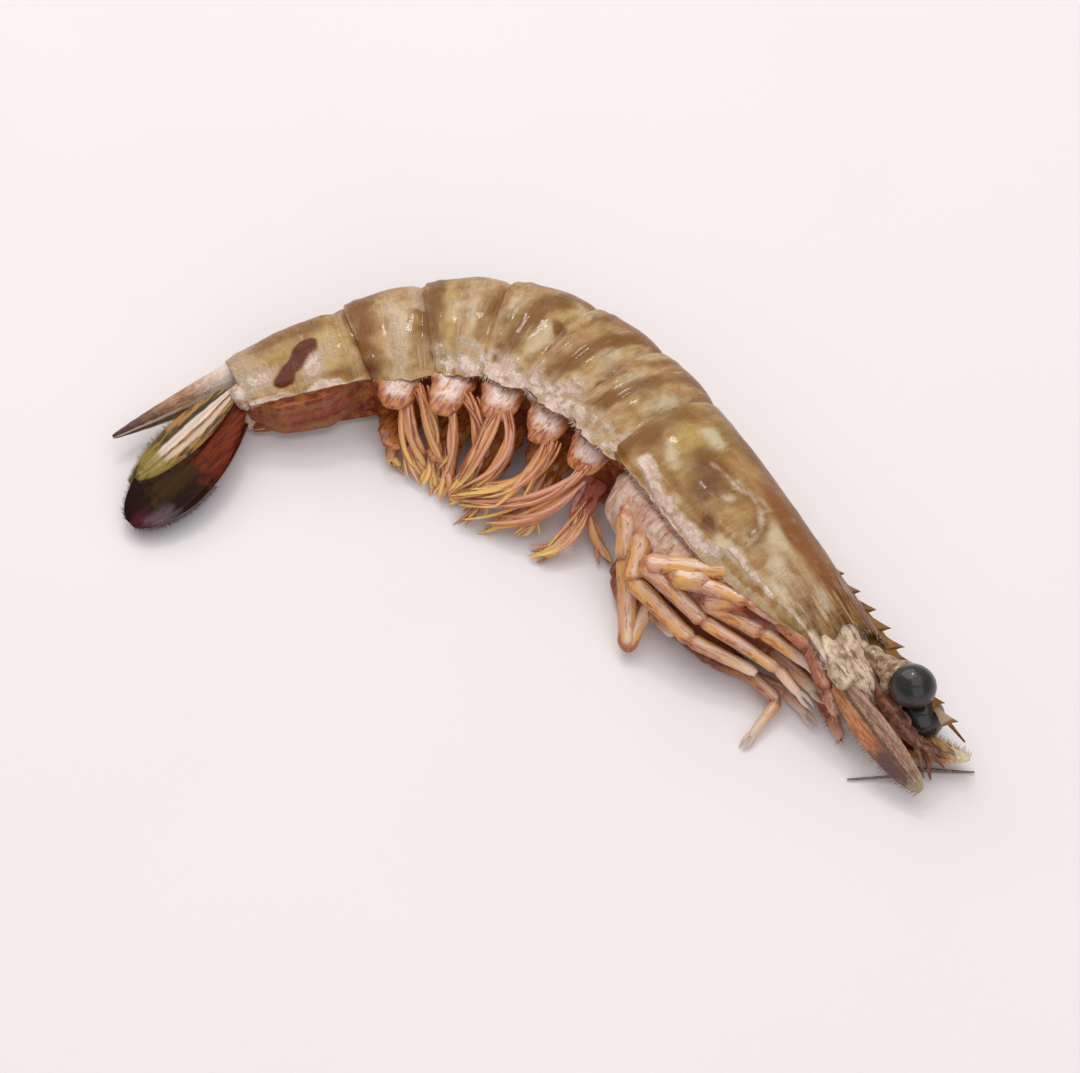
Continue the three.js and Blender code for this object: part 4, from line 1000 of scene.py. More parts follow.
def leaf(path, face, width, thickness, root, widest, relief, cup=0.0, rows=64, columns=17):
    """Closed blade along a curve. relief gives the height of its upper face in mm for t, v, where
    v runs from -1 to 1 across it, and cup bends both edges up by that share of the width."""
    t = 0.002 + 0.994 * (1 - (1 - np.linspace(0, 1, rows)) ** 1.3)
    middle = bezier(path, t)
    up, across = across_of(directions(middle), np.array(face, float))
    share = leaf_width(t, root, widest)
    v = np.sin(np.linspace(-1, 1, columns) * math.pi / 2)
    body = np.clip(1 - np.abs(v) ** 4, 0.06, 1)
    T, V = np.meshgrid(t, v, indexing="ij")
    lift = relief(T, V) * share[:, None]
    bend = cup * width * V**2 * share[:, None]
    half = thickness / 2 * (0.4 + 0.6 * share[:, None]) * body
    centre = middle[:, None] + across[:, None] * (V * width / 2 * share[:, None])[..., None]
    upper = centre + up[:, None] * (half + lift + bend)[..., None]
    under = centre + up[:, None] * (-half + lift * 0.5 + bend)[..., None]
    grid = np.concatenate([upper, under[:, -2:0:-1]], axis=1)
    marks = {"along": np.concatenate([T, T[:, -2:0:-1]], 1),
             "across": np.concatenate([V, V[:, -2:0:-1]], 1),
             "under": np.concatenate([0 * V, 1 + 0 * V[:, -2:0:-1]], 1)}
    margins = [centre[:, 0], centre[:, -1]]
    return part(grid, marks), middle, margins


def toward(back, upward):
    """Direction leaning from the vertical towards the back of the head."""
    return np.array([-math.sin(HEAD_HEADING) * back, math.cos(HEAD_HEADING) * back, upward])


def limb(joints, radii, flat=0.7, sides=16, corner=1.1):
    """Jointed limb as one tube through its joints, with the bends rounded. A joint is a waist with
    a swelling before it. radii has one value for each joint, the ends among them."""
    joints = np.array(joints, float)
    path, at = [joints[0]], [0.0]
    for i in range(1, len(joints)):
        a, b = joints[i - 1], joints[i]
        length = np.linalg.norm(b - a)
        cut = min(corner, 0.38 * length)
        begin = cut / length if i > 1 else 0.0
        stop = 1 - (cut / length if i < len(joints) - 1 else 0.0)
        for t in np.linspace(begin, stop, max(4, int(length / 0.45))):
            path.append(a + (b - a) * t)
            at.append(i - 1 + t)
        if i < len(joints) - 1:
            after = joints[i + 1] - b
            cut_after = min(corner, 0.38 * np.linalg.norm(after))
            bend = [b - (b - a) / length * cut, b, b + after / np.linalg.norm(after) * cut_after]
            for t in np.linspace(0.1, 0.9, 9):
                path.append(bezier(bend, [t])[0])
                at.append(i - begin_share(t, cut, length, cut_after, np.linalg.norm(after)))
    path, at = np.array(path[1:]), np.array(at[1:])
    run = np.concatenate([[0], np.cumsum(np.linalg.norm(np.diff(path, axis=0), axis=1))])
    thick = np.interp(at, range(len(radii)), radii)
    joint = np.zeros(len(run))
    for i in range(1, len(joints) - 1):
        away = run - np.interp(i, at, run)
        thick *= 1 + 0.12 * hump(away, -1.0, 0.9) - 0.24 * hump(away, 0, 0.4)
        joint = np.maximum(joint, hump(away, 0, 0.7))
    thick *= np.interp(run / run[-1], [0, 0.01, 0.97, 1], [0.75, 1, 1, 0.6])
    path = path + 0.12 * np.stack([wander(path, 3.0, k) for k in (71, 72, 73)], -1)
    return [tube(path, thick, flat, sides, joint=joint)]


def begin_share(t, before, length, after, length_after):
    """Share of an article still to go to its joint, negative once past it, along a rounded bend."""
    return before / length * (1 - 2 * t) if t < 0.5 else -after / length_after * (2 * t - 1)


FEELERS = {
    "right": {"base": [beside(3, 1.8, 4.2), beside(-2, 1.7, 3.8), beside(-6, 1.8, 3.0)],
              "scale": [place(-4, 0.9, 9.6), place(-14, 1.0, 8.0), place(-24.0, 3.3, 3.4)],
              "face": toward(-0.6, 0.8), "outer": -1,
              "inner": [place(-6, 6.2, 8.9), place(-12.5, 5.8, 8.0), place(-15.2, 6.0, 7.0),
                        place(-17.5, 6.4, 6.0)],
              "whips": [[place(-21.6, 5.2, 2.4)], [place(-22.5, 8.4, 3.8)]]},
    "left": {"base": [beside(3, 1.8, -4.2), beside(-2, 1.9, -3.8), beside(-6, 2.6, -3.6)],
             "scale": [place(-4, 3.6, 3.0), place(-14, 4.6, 1.2), place(-23.0, 12.8, 3.4)],
             "face": toward(0.1, 1), "outer": 1,
             "inner": [place(-6, 6.2, 5.5), place(-12.5, 6.6, 4.4), place(-15.2, 7.2, 4.0),
                       place(-17.5, 8.0, 3.6)],
             "whips": [[place(-21.4, 9.8, 2.8)], [place(-21.8, 6.4, 1.0)]]},
}


def scale_relief(t, v):
    ribs = 0.5 * hump(v, 0.75, 0.12) + 0.28 * hump(v, 0.1, 0.1)
    return ribs - 0.12 * hump(v, 0.45, 0.15) + 0.02 * np.sin(t * 90 + v * 6)


def blade_horn(name, low_side, end, high_side, tip):
    """Ribbed horn, its low side going to another colour at its end, its high side paler."""
    made = Finish(name, **WET)
    t, v = made.mark("along"), made.mark("across")
    blots, fine = made.grain(1.6, 4), made.grain(0.3, 3)
    streak = made.grain(0.6, 4, 0.6, made.spot((5.0, 0.6, 1.0), HEAD_HEADING))
    shift = (blots - 0.5) * 0.3 + (streak - 0.5) * 0.5
    colour = made.blend(streak.rise(0.4, 0.62), *low_side)
    colour = made.blend((t + shift).rise(0.5, 0.66) * 0.92, colour, end)
    pale = made.blend(streak.rise(0.38, 0.6), *high_side)
    colour = made.paint(
        colour, ((v + shift).rise(0.25, -0.1), pale),
        ((v + (fine - 0.5) * 0.3).near(-0.05, 0.05, 0.12) * 0.7, "4a3428"),
        ((t + shift * 0.5).rise(0.84, 0.97) * 0.8, tip), (fine.rise(0.6, 0.72) * 0.5, "40261c"))
    return made.close(colour, 0.27 + fine * 0.2, streak + fine * 0.6, 0.22)


SCALE_HORN = {
    "right": blade_horn("scale_horn_right", ("b0623a", "c98c5e"), "5c4044",
                        ("8e6448", "b8937a"), "b4a07c"),
    "left": blade_horn("scale_horn_left", ("8a4526", "a8663a"), "b4793c",
                       ("8a4e2c", "dcae6c"), "e2d8b0"),
}
feeler_skin = Finish("feeler_skin", **WET)
blots, fine = feeler_skin.grain(1.0, 4), feeler_skin.grain(0.25, 3)
rings_round = feeler_skin.node("ShaderNodeMath", {"operation": "SINE"},
                               {0: feeler_skin.mark("along") * 16.0})
streak = feeler_skin.grain(0.8, 4, 0.6, feeler_skin.spot((3.5, 0.7, 0.8), HEAD_HEADING))
colour = feeler_skin.blend(blots.rise(0.36, 0.64), "8e5a3c", "6c3a24")
colour = feeler_skin.paint(
    colour, (streak.rise(0.5, 0.62) * 0.6, "42211a"), (streak.rise(0.42, 0.34) * 0.45, "cfa878"),
    (fine.rise(0.56, 0.7) * 0.4, "6a3c2a"))
height = blots * 0.4 + fine * 0.6 + streak + rings_round * 0.15
feeler_skin = feeler_skin.close(colour, 0.3 + fine * 0.2, height, 0.08)
scale_fringes = []
for name, parts_of in FEELERS.items():
    scale_part, middle, margins = leaf(
        parts_of["scale"], parts_of["face"], 5.5, 0.8, 0.6, 0.5,
        lambda t, v, k=parts_of["outer"]: scale_relief(t, v * k), 0.04)
    scale_fringes.append((margins[0 if parts_of["outer"] > 0 else 1], middle))
    scale = piece(f"feeler_scale_{name}", [scale_part], SCALE_HORN[name])
    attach(scale, "root")
    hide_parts(f"antennal_scale_{name}")
    base = piece(f"feeler_base_{name}", limb(parts_of["base"], [2.1, 2.2, 1.7], 0.9, 16), mottled)
    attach(base, "root")
    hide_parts(f"antenna_base_{name}")
    stems = limb(parts_of["inner"], [1.5, 1.6, 1.4, 1.0], 0.8, 14)
    for ends in parts_of["whips"]:
        joints = np.array([parts_of["inner"][-1], *ends])
        t = np.linspace(0, 1, 24)
        path = joints[0] + np.outer(t, joints[1] - joints[0])
        path += np.outer(np.sin(t * math.pi) * 0.5, (0, 0, 1))
        radii = 0.62 * (1 - t) ** 0.7 + 0.1
        radii *= 1 + 0.1 * np.sin(t * 75)
        stems.append(tube(path, radii, 0.95, 8))
    inner = piece(f"inner_feeler_{name}", stems, feeler_skin)
    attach(inner, "root")
    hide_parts(f"antennule_{name}")

# The long outer feelers are broken off short: what is left of each lies on the floor.
STUMPS = {"right": [(68.2, -22.0, 1.5), (66.3, -22.6, 0.45), (59.5, -26.3, 0.35)],
          "left": [(68.4, -20.1, 0.6), (73.1, -18.4, 0.45), (76.6, -16.7, 0.35)]}
stump_horn = Finish("stump_horn", **WET)
fine = stump_horn.grain(0.3, 3)
colour = stump_horn.blend(fine.rise(0.4, 0.6), "8d7d6e", "5d4a3e")
stump_horn = stump_horn.close(colour, 0.35 + fine * 0.2, fine, 0.08)
for name, path in STUMPS.items():
    curve = bezier(path, np.linspace(0, 1, 40))
    whip = piece(f"outer_feeler_{name}",
                 [tube(curve, np.linspace(0.42, 0.16, 40), 1.0, 8)], stump_horn)
    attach(whip, "root")

# Stiff hairs along the scales' soft edges and round the front of the head shell.
rows = [(margin, margin - middle, 1.1) for margin, middle in scale_fringes]
g = np.linspace(-0.98, 0.98, 80)
front_s = socket_margin(np.abs(g)) + 0.6
up, out = outside(front_s, g, 1.0, 0.3)
edge = beside(front_s, up, out)
rows.append((edge, beside(front_s - 2, up - 0.3, out) - edge, 1.6))
dun_hair = hair_horn("dun_hair", "c4ad86", "6b4c33")
fringe = bristles("head_fringe", rows, Spacing=0.2 * MM, Thickness=0.1, Bend=0.3, Spread=0.3,
                  Seed=11, Finish=dun_hair)
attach(fringe, "root")

# ---------------------------------------------------------------- walking legs
# Ten slender jointed legs in thin shell, folded forward under the head. The first three pairs end
# in small pincers and the last two in plain claws; each grows from a knob of the thorax.
LEGS = {
    "right": [
        [(15, -5.8, 13.0), (19.0, -9.6, 11.4), (9.6, -4.4, 10.4), (1.0, -0.6, 8.8)],
        [(20, -8.0, 14.2), (24.4, -12.2, 13.6), (13.8, -4.2, 14.0), (4.6, 0.0, 12.0)],
        [(19.2, -4.0, 15.2), (28.8, -14.4, 13.2), (16.8, -10.8, 9.6), (4.6, -4.8, 6.8),
         (-1, -3.8, 5.4)],
        [(33, -12.0, 13.6), (29.0, -16.4, 9.6), (16.4, -13.4, 6.8), (6.6, -7.4, 5.2)],
        [(38, -11.8, 13.8), (33.4, -14.8, 9.0), (22.8, -21.4, 1.8), (26.8, -14.6, 5.2)],
    ],
    "left": [
        [(14, -5.4, 3.6), (18.6, -8.6, 4.2), (9, -3.2, 5.6), (-1, -1.2, 4.8)],
        [(20, -9.2, 3.6), (24, -12.4, 4.6), (12, -8.4, 3.4), (2.0, -6.4, 2.4), (-0.6, -13, 0.9)],
        [(26, -11.6, 2.8), (28.6, -14.2, 2.4), (14.6, -10.6, 1.3), (3.4, -4.0, 1.5),
         (-2, -3.6, 1.3)],
        [(32, -12, 3.0), (30, -15.4, 4.2), (20, -14.0, 4.4)],
        [(37, -12, 3.0), (35, -15.6, 2.4), (28.8, -17.6, 1.4), (27.0, -13.2, 1.2)],
    ],
}
LEG_RADII = [1.9, 1.85, 1.7, 1.35, 1.0, 0.7]  # at the root, then at each joint
PINCERS = 3  # pairs of legs that end in pincers


def pincer(joint, tip, radius):
    """Two thin fingers that close against each other beyond the end of a leg."""
    joint, tip = np.asarray(joint, float), np.asarray(tip, float)
    way = (tip - joint) / np.linalg.norm(tip - joint)
    _, wide = across_of(way, np.array((0.11, 0.07, 1.0)))
    t = np.linspace(0, 1, 14)
    fingers = []
    for side in (-1, 1):
        spread = side * radius * (0.45 + 0.35 * np.sin(t * math.pi))
        path = tip + np.outer(t * 3.4 - 0.8, way) + np.outer(spread, wide)
        points, faces, marks = tube(path, radius * 0.55 * np.clip(1 - t**2.5, 0.08, 1), 0.8, 8)
        fingers.append((points, faces, marks | {"end": 1 + 0 * marks["end"]}))
    return fingers


def limb_shell(name, base, light, warm, deep, shaded=0.0):
    """Thin wet shell of a limb: tan going to amber in places, pale streaks along its crest as a
    painted highlight, redder down its sides as painted shade and, where shaded is over 0, redder
    from its root to half way as painted shade."""
    made = Finish(name, **WET)
    side = abs(made.mark("round"))
    blots, fine, cloud = made.grain(1.6, 3), made.grain(0.35, 3), made.grain(4.5, 2)
    lengthwise = made.node("ShaderNodeCombineXYZ", None, {
        0: made.mark("end") * 6.0, 1: made.mark("round") * 2.6, 2: cloud * 4.0})
    streak = made.grain(0.8, 3, 0.6, lengthwise)
    shift = (streak - 0.5) * 0.9 + (blots - 0.5) * 0.4
    colour = made.blend(cloud.rise(0.42, 0.58), base, warm)
    colour = made.paint(
        # Painted highlight of pale streaks along the crest, painted shade of deep red down the
        # sides.
        colour, ((side + shift).rise(0.5, 0.05) * 0.7, light),
        ((side + shift).rise(0.78, 1.1) * 0.6, deep), (streak.rise(0.55, 0.66) * 0.6, deep),
        (made.mark("joint") * blots.rise(0.3, 0.55) * 0.7, deep),
        (fine.rise(0.6, 0.72) * 0.3, "f0dccb"))
    # Painted shade: deep red from the root to half way.
    if shaded:
        shade = (made.mark("end") + shift * 0.3).rise(0.75, 0.5) * shaded
        colour = made.blend(shade, colour, "7c2c18")
    colour = made.blend((made.mark("end") + shift * 0.1).rise(0.8, 1.0) * 0.75, colour, light)
    return made.close(colour, 0.25 + fine * 0.2, streak * 1.4 + fine * 0.5, 0.24)


# The legs on the floor side take a darker copy with painted shade from the root.
leg_shells = {"right": limb_shell("leg_shell", "d8a284", "f8dcc8", "e2a860", "a04a2a"),
              "left": limb_shell("leg_shell_below", "cd9876", "f2d6be", "d89a58", "8a3c22", 0.85)}
for name, legs in LEGS.items():
    for i, joints in enumerate(legs):
        s, up, z = joints[0]
        middle_z = profile(s, MID)
        root = place(s + 1.0, -profile(s, EDGE) - 0.5, middle_z + (z - middle_z) * 0.45)
        points = [root] + [place(*joint) for joint in joints]
        radii = LEG_RADII[:len(points)]
        parts_of_leg = limb(points, radii)
        if i < PINCERS:
            parts_of_leg += pincer(points[-2], points[-1], radii[-1])
        leg = piece(f"walking_leg_{name}_{i + 1}", parts_of_leg, leg_shells[name])
        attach(leg, "root")
        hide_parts(f"leg_{name}_{i + 1}")

# ---------------------------------------------------------------- mouth legs
# One pair of stout, hairy feeding legs that lie forward under the head, redder than the rest.
MOUTH_LEGS = {
    "right": [(9, -1.8, 12.4), (2.6, 0.0, 12.2), (-3.4, -1.0, 8.4), (-7.0, -1.4, 6.0)],
    "left": [(9, -2.6, 3.6), (2, 0.2, 2.8), (-4.4, -0.6, 2.0), (-8.6, -1.4, 1.6)],
}
red_shell = limb_shell("mouth_leg_shell", "b4674c", "e2b29c", "c4784c", "742a18")
rows = []
for name, joints in MOUTH_LEGS.items():
    points = [place(*joint) for joint in joints]
    mouth_leg = piece(f"mouth_leg_{name}", limb(points, [1.6, 1.5, 1.3, 0.8]), red_shell)
    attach(mouth_leg, "root")
    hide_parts(f"maxilliped_{name}")
    for a, b in zip(points, points[1:]):
        rows.append((np.linspace(a, b, 12), (0.4, -0.8, 0.1), 2.2))
for legs in LEGS.values():
    for joints in legs[:4]:
        a, b = place(*joints[1]), place(*joints[2])
        rows.append((np.linspace(a, b, 16), (0.3, -0.6, -0.5), 1.5))
red_hair = hair_horn("red_hair", "8a3a22", "c47a52", "d9a680", 0.6, 0.3, coat=(0.4, 0.15))
fringe = bristles("leg_fringe", rows, Spacing=0.22 * MM, Thickness=0.11, Bend=0.4, Spread=0.5,
                  Seed=23, Finish=red_hair)
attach(fringe, "root")

# ---------------------------------------------------------------- tail fan
# The pointed end plate with a groove down its back, and on each side a short base that carries two
# stiff ribbed blades. All are horn, dark and glossy, hinged to the last tail shell.
TELSON = {"root": (-60.4, 0.4), "tip": (-75.6, -21.6, 3.6), "half": 4.2, "deep": 2.6}
TELSON_RING = np.array([(0.5, 0), (0.78, 0.2), (0.95, 0.38), (0.72, 0.62), (0.5, 0.82), (-0.3, 1),
                        (-1, 0.4), (-1, -0.4), (-0.3, -1), (0.5, -0.82), (0.72, -0.62),
                        (0.95, -0.38), (0.78, -0.2)])
tail_end = HEAD_LENGTH + sum(length for length, _ in TAIL_STRETCHES[:6])
root = np.array([*TELSON["root"], 0.0]) + FLOOR_CENTRE
root[2] = profile(tail_end, MID)
tip = np.array(TELSON["tip"]) + FLOOR_CENTRE
way = (tip - root) / np.linalg.norm(tip - root)
backward, across = across_of(way, np.array((-0.7, 0.5, 0.0)))
section = rounded(TELSON_RING, 1)
rings, along, ring_round = [], [], []
for t in np.concatenate([[-0.12], np.linspace(-0.06, 0.93, 60), [0.96, 0.985, 0.998]]):
    deep = TELSON["deep"] * (1 - max(t, 0)) ** 0.7 + 0.3
    wide = TELSON["half"] * (1 - max(t, 0)) ** 0.8 * (0.66 + 0.34 * smooth(-0.02, 0.16, t)) + 0.28
    centre = root * (1 - t) + tip * t
    rings.append(centre + np.outer(section[:, 0] * deep, backward) + np.outer(section[:, 1] * wide,
                                                                              across))
    along.append(np.full(len(section), t))
    ring_round.append(section[:, 1])
grid = np.array(rings)
grid = grid + normals(grid) * (0.06 * wander(grid, 1.0, 81))[..., None]
telson_marks = {"along": np.array(along), "across": np.array(ring_round)}

telson_horn = Finish("telson_horn", **{**WET, "Coat Weight": 0.3})
t, v = telson_horn.mark("along"), telson_horn.mark("across")
blots, fine = telson_horn.grain(1.5, 4), telson_horn.grain(0.35, 3)
streak = telson_horn.grain(0.8, 4, 0.6, telson_horn.spot((5.0, 0.7, 0.8), math.radians(55)))
shift = (blots - 0.5) * 0.4 + (streak - 0.5) * 0.4
colour = telson_horn.blend(streak.rise(0.4, 0.62), "94603f", "c69a72")
colour = telson_horn.paint(
    colour, ((t + shift).rise(0.5, 0.2) * 0.95, "ead6c8"),
    ((t + shift).rise(0.55, 0.9) * 0.9, "3f1a15"),
    ((abs(v) + shift * 0.3).near(0.42, 0.08, 0.1) * 0.85, "ead4b8"),
    # Painted highlight: greyish pink on one side, half way along.
    ((v + shift).rise(0.55, 0.9) * (t + shift).near(0.45, 0.14, 0.2) * 0.6, "b08a78"),
    (fine.rise(0.6, 0.7) * 0.4, "2a1410"))
telson_horn = telson_horn.close(colour, 0.3 + fine * 0.18, streak + fine * 0.5, 0.22)
telson = piece("telson_plate", [part(grid, telson_marks)], telson_horn, 40)
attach(telson, "root")
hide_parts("telson")

FAN = {
    "right": {"base": [(-57.4, -4.8, 8.0), (-59.2, -9.2, 7.4)],
              "outer": [(-59.4, -8.4, 6.9), (-59.6, -22, 5.6), (-64.8, -34.9, 2.6)],
              "inner": [(-60.4, -8.2, 8.1), (-62.4, -18, 8.0), (-67.2, -28.2, 5.2)],
              "face": (0.12, -0.1, 1)},
    "left": {"base": [(-57.4, -4.8, 2.4), (-58.8, -9.0, 2.4)],
             "outer": [(-59.4, -8.4, 2.7), (-61.2, -20, 2.2), (-64.6, -33.4, 1.0)],
             "inner": [(-60.2, -8.4, 1.8), (-63.4, -18, 1.0), (-69.6, -27.0, 0.9)],
             "face": (0, -0.05, 1)},
}


def blade_relief(t, v):
    """Two ribs with a groove between them, and fine flutes towards the end."""
    ribs = sum(hump(v, at, 0.09) for at in (-0.16, 0.16))
    rim = 0.25 * hump(np.abs(v), 0.9, 0.07)
    return 0.42 * ribs * (1 - t * 0.5) + rim + 0.05 * np.sin(v * 34) * smooth(0.3, 0.8, t)


def fan_horn(name, inner):
    """Red-brown horn that goes black to the end; the inner blade has pale ribs and a green end."""
    made = Finish(name, **{**WET, "IOR": 1.33, "Specular IOR Level": 0.1, "Coat Weight": 0.05})
    t, v = made.mark("along"), made.mark("across")
    blots, fine = made.grain(2.4, 4), made.grain(0.4, 3)
    streak = made.grain(0.8, 4, 0.6, made.spot((6.0, 0.8, 1.0), math.radians(80)))
    shift = (blots - 0.5) * 0.5 + (streak - 0.5) * 0.3
    if inner:
        colour = made.blend(streak.rise(0.42, 0.6), "5a4a2c", "b0824e")
        colour = made.paint(
            colour, ((v + shift * 0.4).near(0.1, 0.16, 0.14) * (streak * 0.5 + 0.6), "f0dccc"),
            ((v + shift * 0.4).near(-0.42, 0.08, 0.14) * 0.8, "e6cab2"),
            ((v + shift * 0.4).near(0.48, 0.06, 0.12) * 0.8, "2e3324"),
            ((t + shift * 0.7).rise(0.66, 0.84) * 0.9, "94803c"),
            ((t + shift * 0.7).rise(0.9, 1.02) * 0.9, "3a2a14"))
    else:
        colour = made.blend(streak.rise(0.4, 0.62), "561d0c", "7c3215")
        colour = made.paint(
            colour, ((t + shift).rise(0.4, 0.62) * 0.97, "1e0e05"),
            ((t + shift).near(0.62, 0.1, 0.16) * (v + shift).near(0.05, 0.25, 0.3) * 0.7, "46300f"),
            ((v + shift * 0.5).rise(0.5, 0.86) * 0.9, "22120a"),
            ((t + shift * 0.4).rise(0.82, 0.94) * (v + shift).rise(0.3, -0.2) * 0.85, "4e1c26"),
            # Painted highlight: greyish near the end of the outer blade.
            ((t + shift * 0.3).near(0.86, 0.04, 0.08) * (v + shift).rise(-0.2, -0.6) * 0.5,
             "7c6a6e"))
    return made.close(colour, 0.3 + fine * 0.16, streak * 0.5 + fine * 0.25, 0.1)


outer_finish, inner_finish = fan_horn("outer_blade_horn", False), fan_horn("inner_blade_horn", True)
base_finish = Finish("fan_base", **WET)
blots, fine = base_finish.grain(1.4, 4), base_finish.grain(0.35, 3)
colour = base_finish.blend(blots.rise(0.42, 0.6), "dcc8ba", "b98f6c")
colour = base_finish.blend(fine.rise(0.58, 0.7) * 0.5, colour, "6c3f28")
base_finish = base_finish.close(colour, 0.25 + fine * 0.2, blots + fine * 0.6, 0.2)
fan_margins = []
for name, side in FAN.items():
    centred = {k: [np.array(p) + FLOOR_CENTRE for p in side[k]] for k in ("base", "outer", "inner")}
    base = piece(f"fan_base_{name}", limb(centred["base"], [2.2, 2.4], 0.85, 20), base_finish)
    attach(base, "root")
    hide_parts(f"uropod_base_{name}")
    blades = {"outer": (11.4, 1.2, 0.42, 0.6, outer_finish, "exopod"),
              "inner": (6.4, 1.0, 0.45, 0.5, inner_finish, "endopod")}
    for kind, (width, thickness, root_share, widest, finish, node_name) in blades.items():
        made, middle, margins = leaf(centred[kind], side["face"], width, thickness,
                                     root_share, widest, blade_relief, 0.03, 80, 41)
        fan_margins += [(margin, middle) for margin in margins]
        blade = piece(f"fan_{kind}_{name}", [made], finish)
        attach(blade, "root")
        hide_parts(f"uropod_{node_name}_{name}")

# A thin fringe round the blades' ends, matted down by the wet.
rows = [(margin[34:], margin[34:] - middle[34:], 0.9) for margin, middle in fan_margins]
dark_hair = hair_horn("dark_hair", "3a1a1c", "6b4a34", ior=1.45)
fringe = bristles("fan_fringe", rows, Spacing=0.16 * MM, Thickness=0.1, Bend=0.3, Spread=0.2,
                  Seed=31, Finish=dark_hair)
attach(fringe, "root")

# ---------------------------------------------------------------- swimming legs
# Five pairs of paddles under the tail. Each is a broad pale stalk, hinged to the belly, with two
# long soft blades that hang together wet.
# For each leg its knee, then the run of its outer and its inner blade as start, bend and tip.
SWIMMERS = {
    "right": [
        [(-0.4, 0.6, 12.4), [(0.7, -1.2, 11.0), (-3.0, -6.4, 7.5), (-18.2, -8.6, 3.0)],
         [(0.5, -2.7, 9.0), (-3.9, -8.5, 5.4), (-11.6, -9.4, 2.0)]],
        [(-8.6, 3.0, 12.4), [(-5.8, 0.2, 12.0), (-5.6, -4.6, 9.0), (-18.9, -7.8, 4.4)],
         [(-7.4, 0.0, 11.4), (-6.9, -4.0, 10.0), (-12.4, -7.4, 5.2)]],
        [(-17.4, 4.2, 12.4), [(-14.8, 3.0, 12.0), (-10.5, -2.0, 9.6), (-19.9, -9.0, 2.6)],
         [(-17.0, 2.2, 11.6), (-17.0, -3.4, 9.6), (-20.6, -7.6, 4.4)]],
        [(-26.0, 2.0, 12.0), [(-22.7, 2.8, 12.0), (-16.9, 0.3, 8.6), (-18.6, -6.6, 3.5)],
         [(-24.6, 1.2, 11.0), (-21.6, -2.3, 7.0), (-22.4, -5.8, 2.2)]],
        [(-34.0, 0.2, 10.8), [(-30.9, 2.4, 11.0), (-27.0, 0.1, 7.6), (-24.7, -4.4, 2.8)],
         [(-32.4, -0.2, 9.4), (-30.2, -2.8, 5.6), (-26.8, -4.6, 1.8)]],
    ],
    "left": [
        [(1.0, -3.6, 4.6), [(1.8, -4.6, 4.6), (1.8, -8.3, 3.4), (-4.0, -11.8, 0.9)],
         [(2.3, -4.4, 4.0), (4.8, -5.8, 2.6), (8.4, -7.8, 1.0)]],
        [(-7.4, -1.0, 4.6), [(-7.2, -2.0, 4.8), (-7.0, -6.8, 4.2), (-12.8, -10.4, 1.0)],
         [(-6.0, -3.0, 4.2), (-4.8, -5.8, 3.0), (-6.8, -8.8, 1.4)]],
        [(-16.4, 0.2, 4.6), [(-15.8, -1.0, 4.8), (-13.6, -5.8, 4.2), (-17.2, -10.2, 1.0)],
         [(-17.4, -1.8, 3.6), (-18.2, -4.2, 2.4), (-20.2, -7.0, 1.4)]],
        [(-25.2, -1.2, 4.4), [(-24.4, -2.2, 4.4), (-22.0, -5.0, 3.4), (-20.6, -8.0, 1.0)],
         [(-26.2, -2.4, 3.6), (-25.4, -4.8, 2.6), (-24.2, -6.6, 1.2)]],
        [(-33.0, -2.4, 4.2), [(-32.0, -2.8, 4.2), (-30.2, -4.2, 3.2), (-27.2, -5.6, 1.0)],
         [(-33.8, -3.2, 3.2), (-33.2, -4.6, 2.2), (-31.2, -5.6, 1.2)]],
    ],
}
PADDLE = {"stalk": 3.9, "blade": 0.8, "ribbon": (0.28, 0.56)}  # half widths in mm
RIBBONS = (10, 6)  # slender ribbons beside each leg's outer blade and beside its inner one
# How far their starts, bends and tips stray in x, y and z, in mm.
ASTRAY = np.array([[0.6], [0.9], [0.8]]) * [1, 1, 0.6]
LYING = (0.1, -0.1, 1.0)  # way the flat faces of the stalks and the blades look


def as_paddle(made, stalk):
    """The same surface with a swimming leg's marks."""
    points, faces, marks = made
    return points, faces, {"along": marks["end"], "across": marks["round"], "tone": marks["tone"],
                           "stalk": np.zeros(len(points)) + stalk}


def ribbon(start, bend, tip, half, tone, sway):
    """Soft flat strip that keeps its width, then narrows to a blunt end."""
    t = np.linspace(0, 1, 34)
    path = bezier([start, bend, tip], t)
    _, wide = across_of(directions(path), np.array(LYING))
    path = path + wide * (sway * np.sin(t * math.pi * 1.6) * t)[:, None]
    path[:, 2] = np.maximum(path[:, 2], 0.4)
    swell = half * np.interp(t, [0, 0.1, 0.4, 0.75, 0.9, 0.97, 1],
                             [0.4, 0.75, 1, 0.85, 0.6, 0.4, 0.15])
    return as_paddle(tube(path, swell * (1 + 0.1 * wander(path, 1.6, 95)), 0.45, 12, LYING,
                          tone=tone), 0.0)


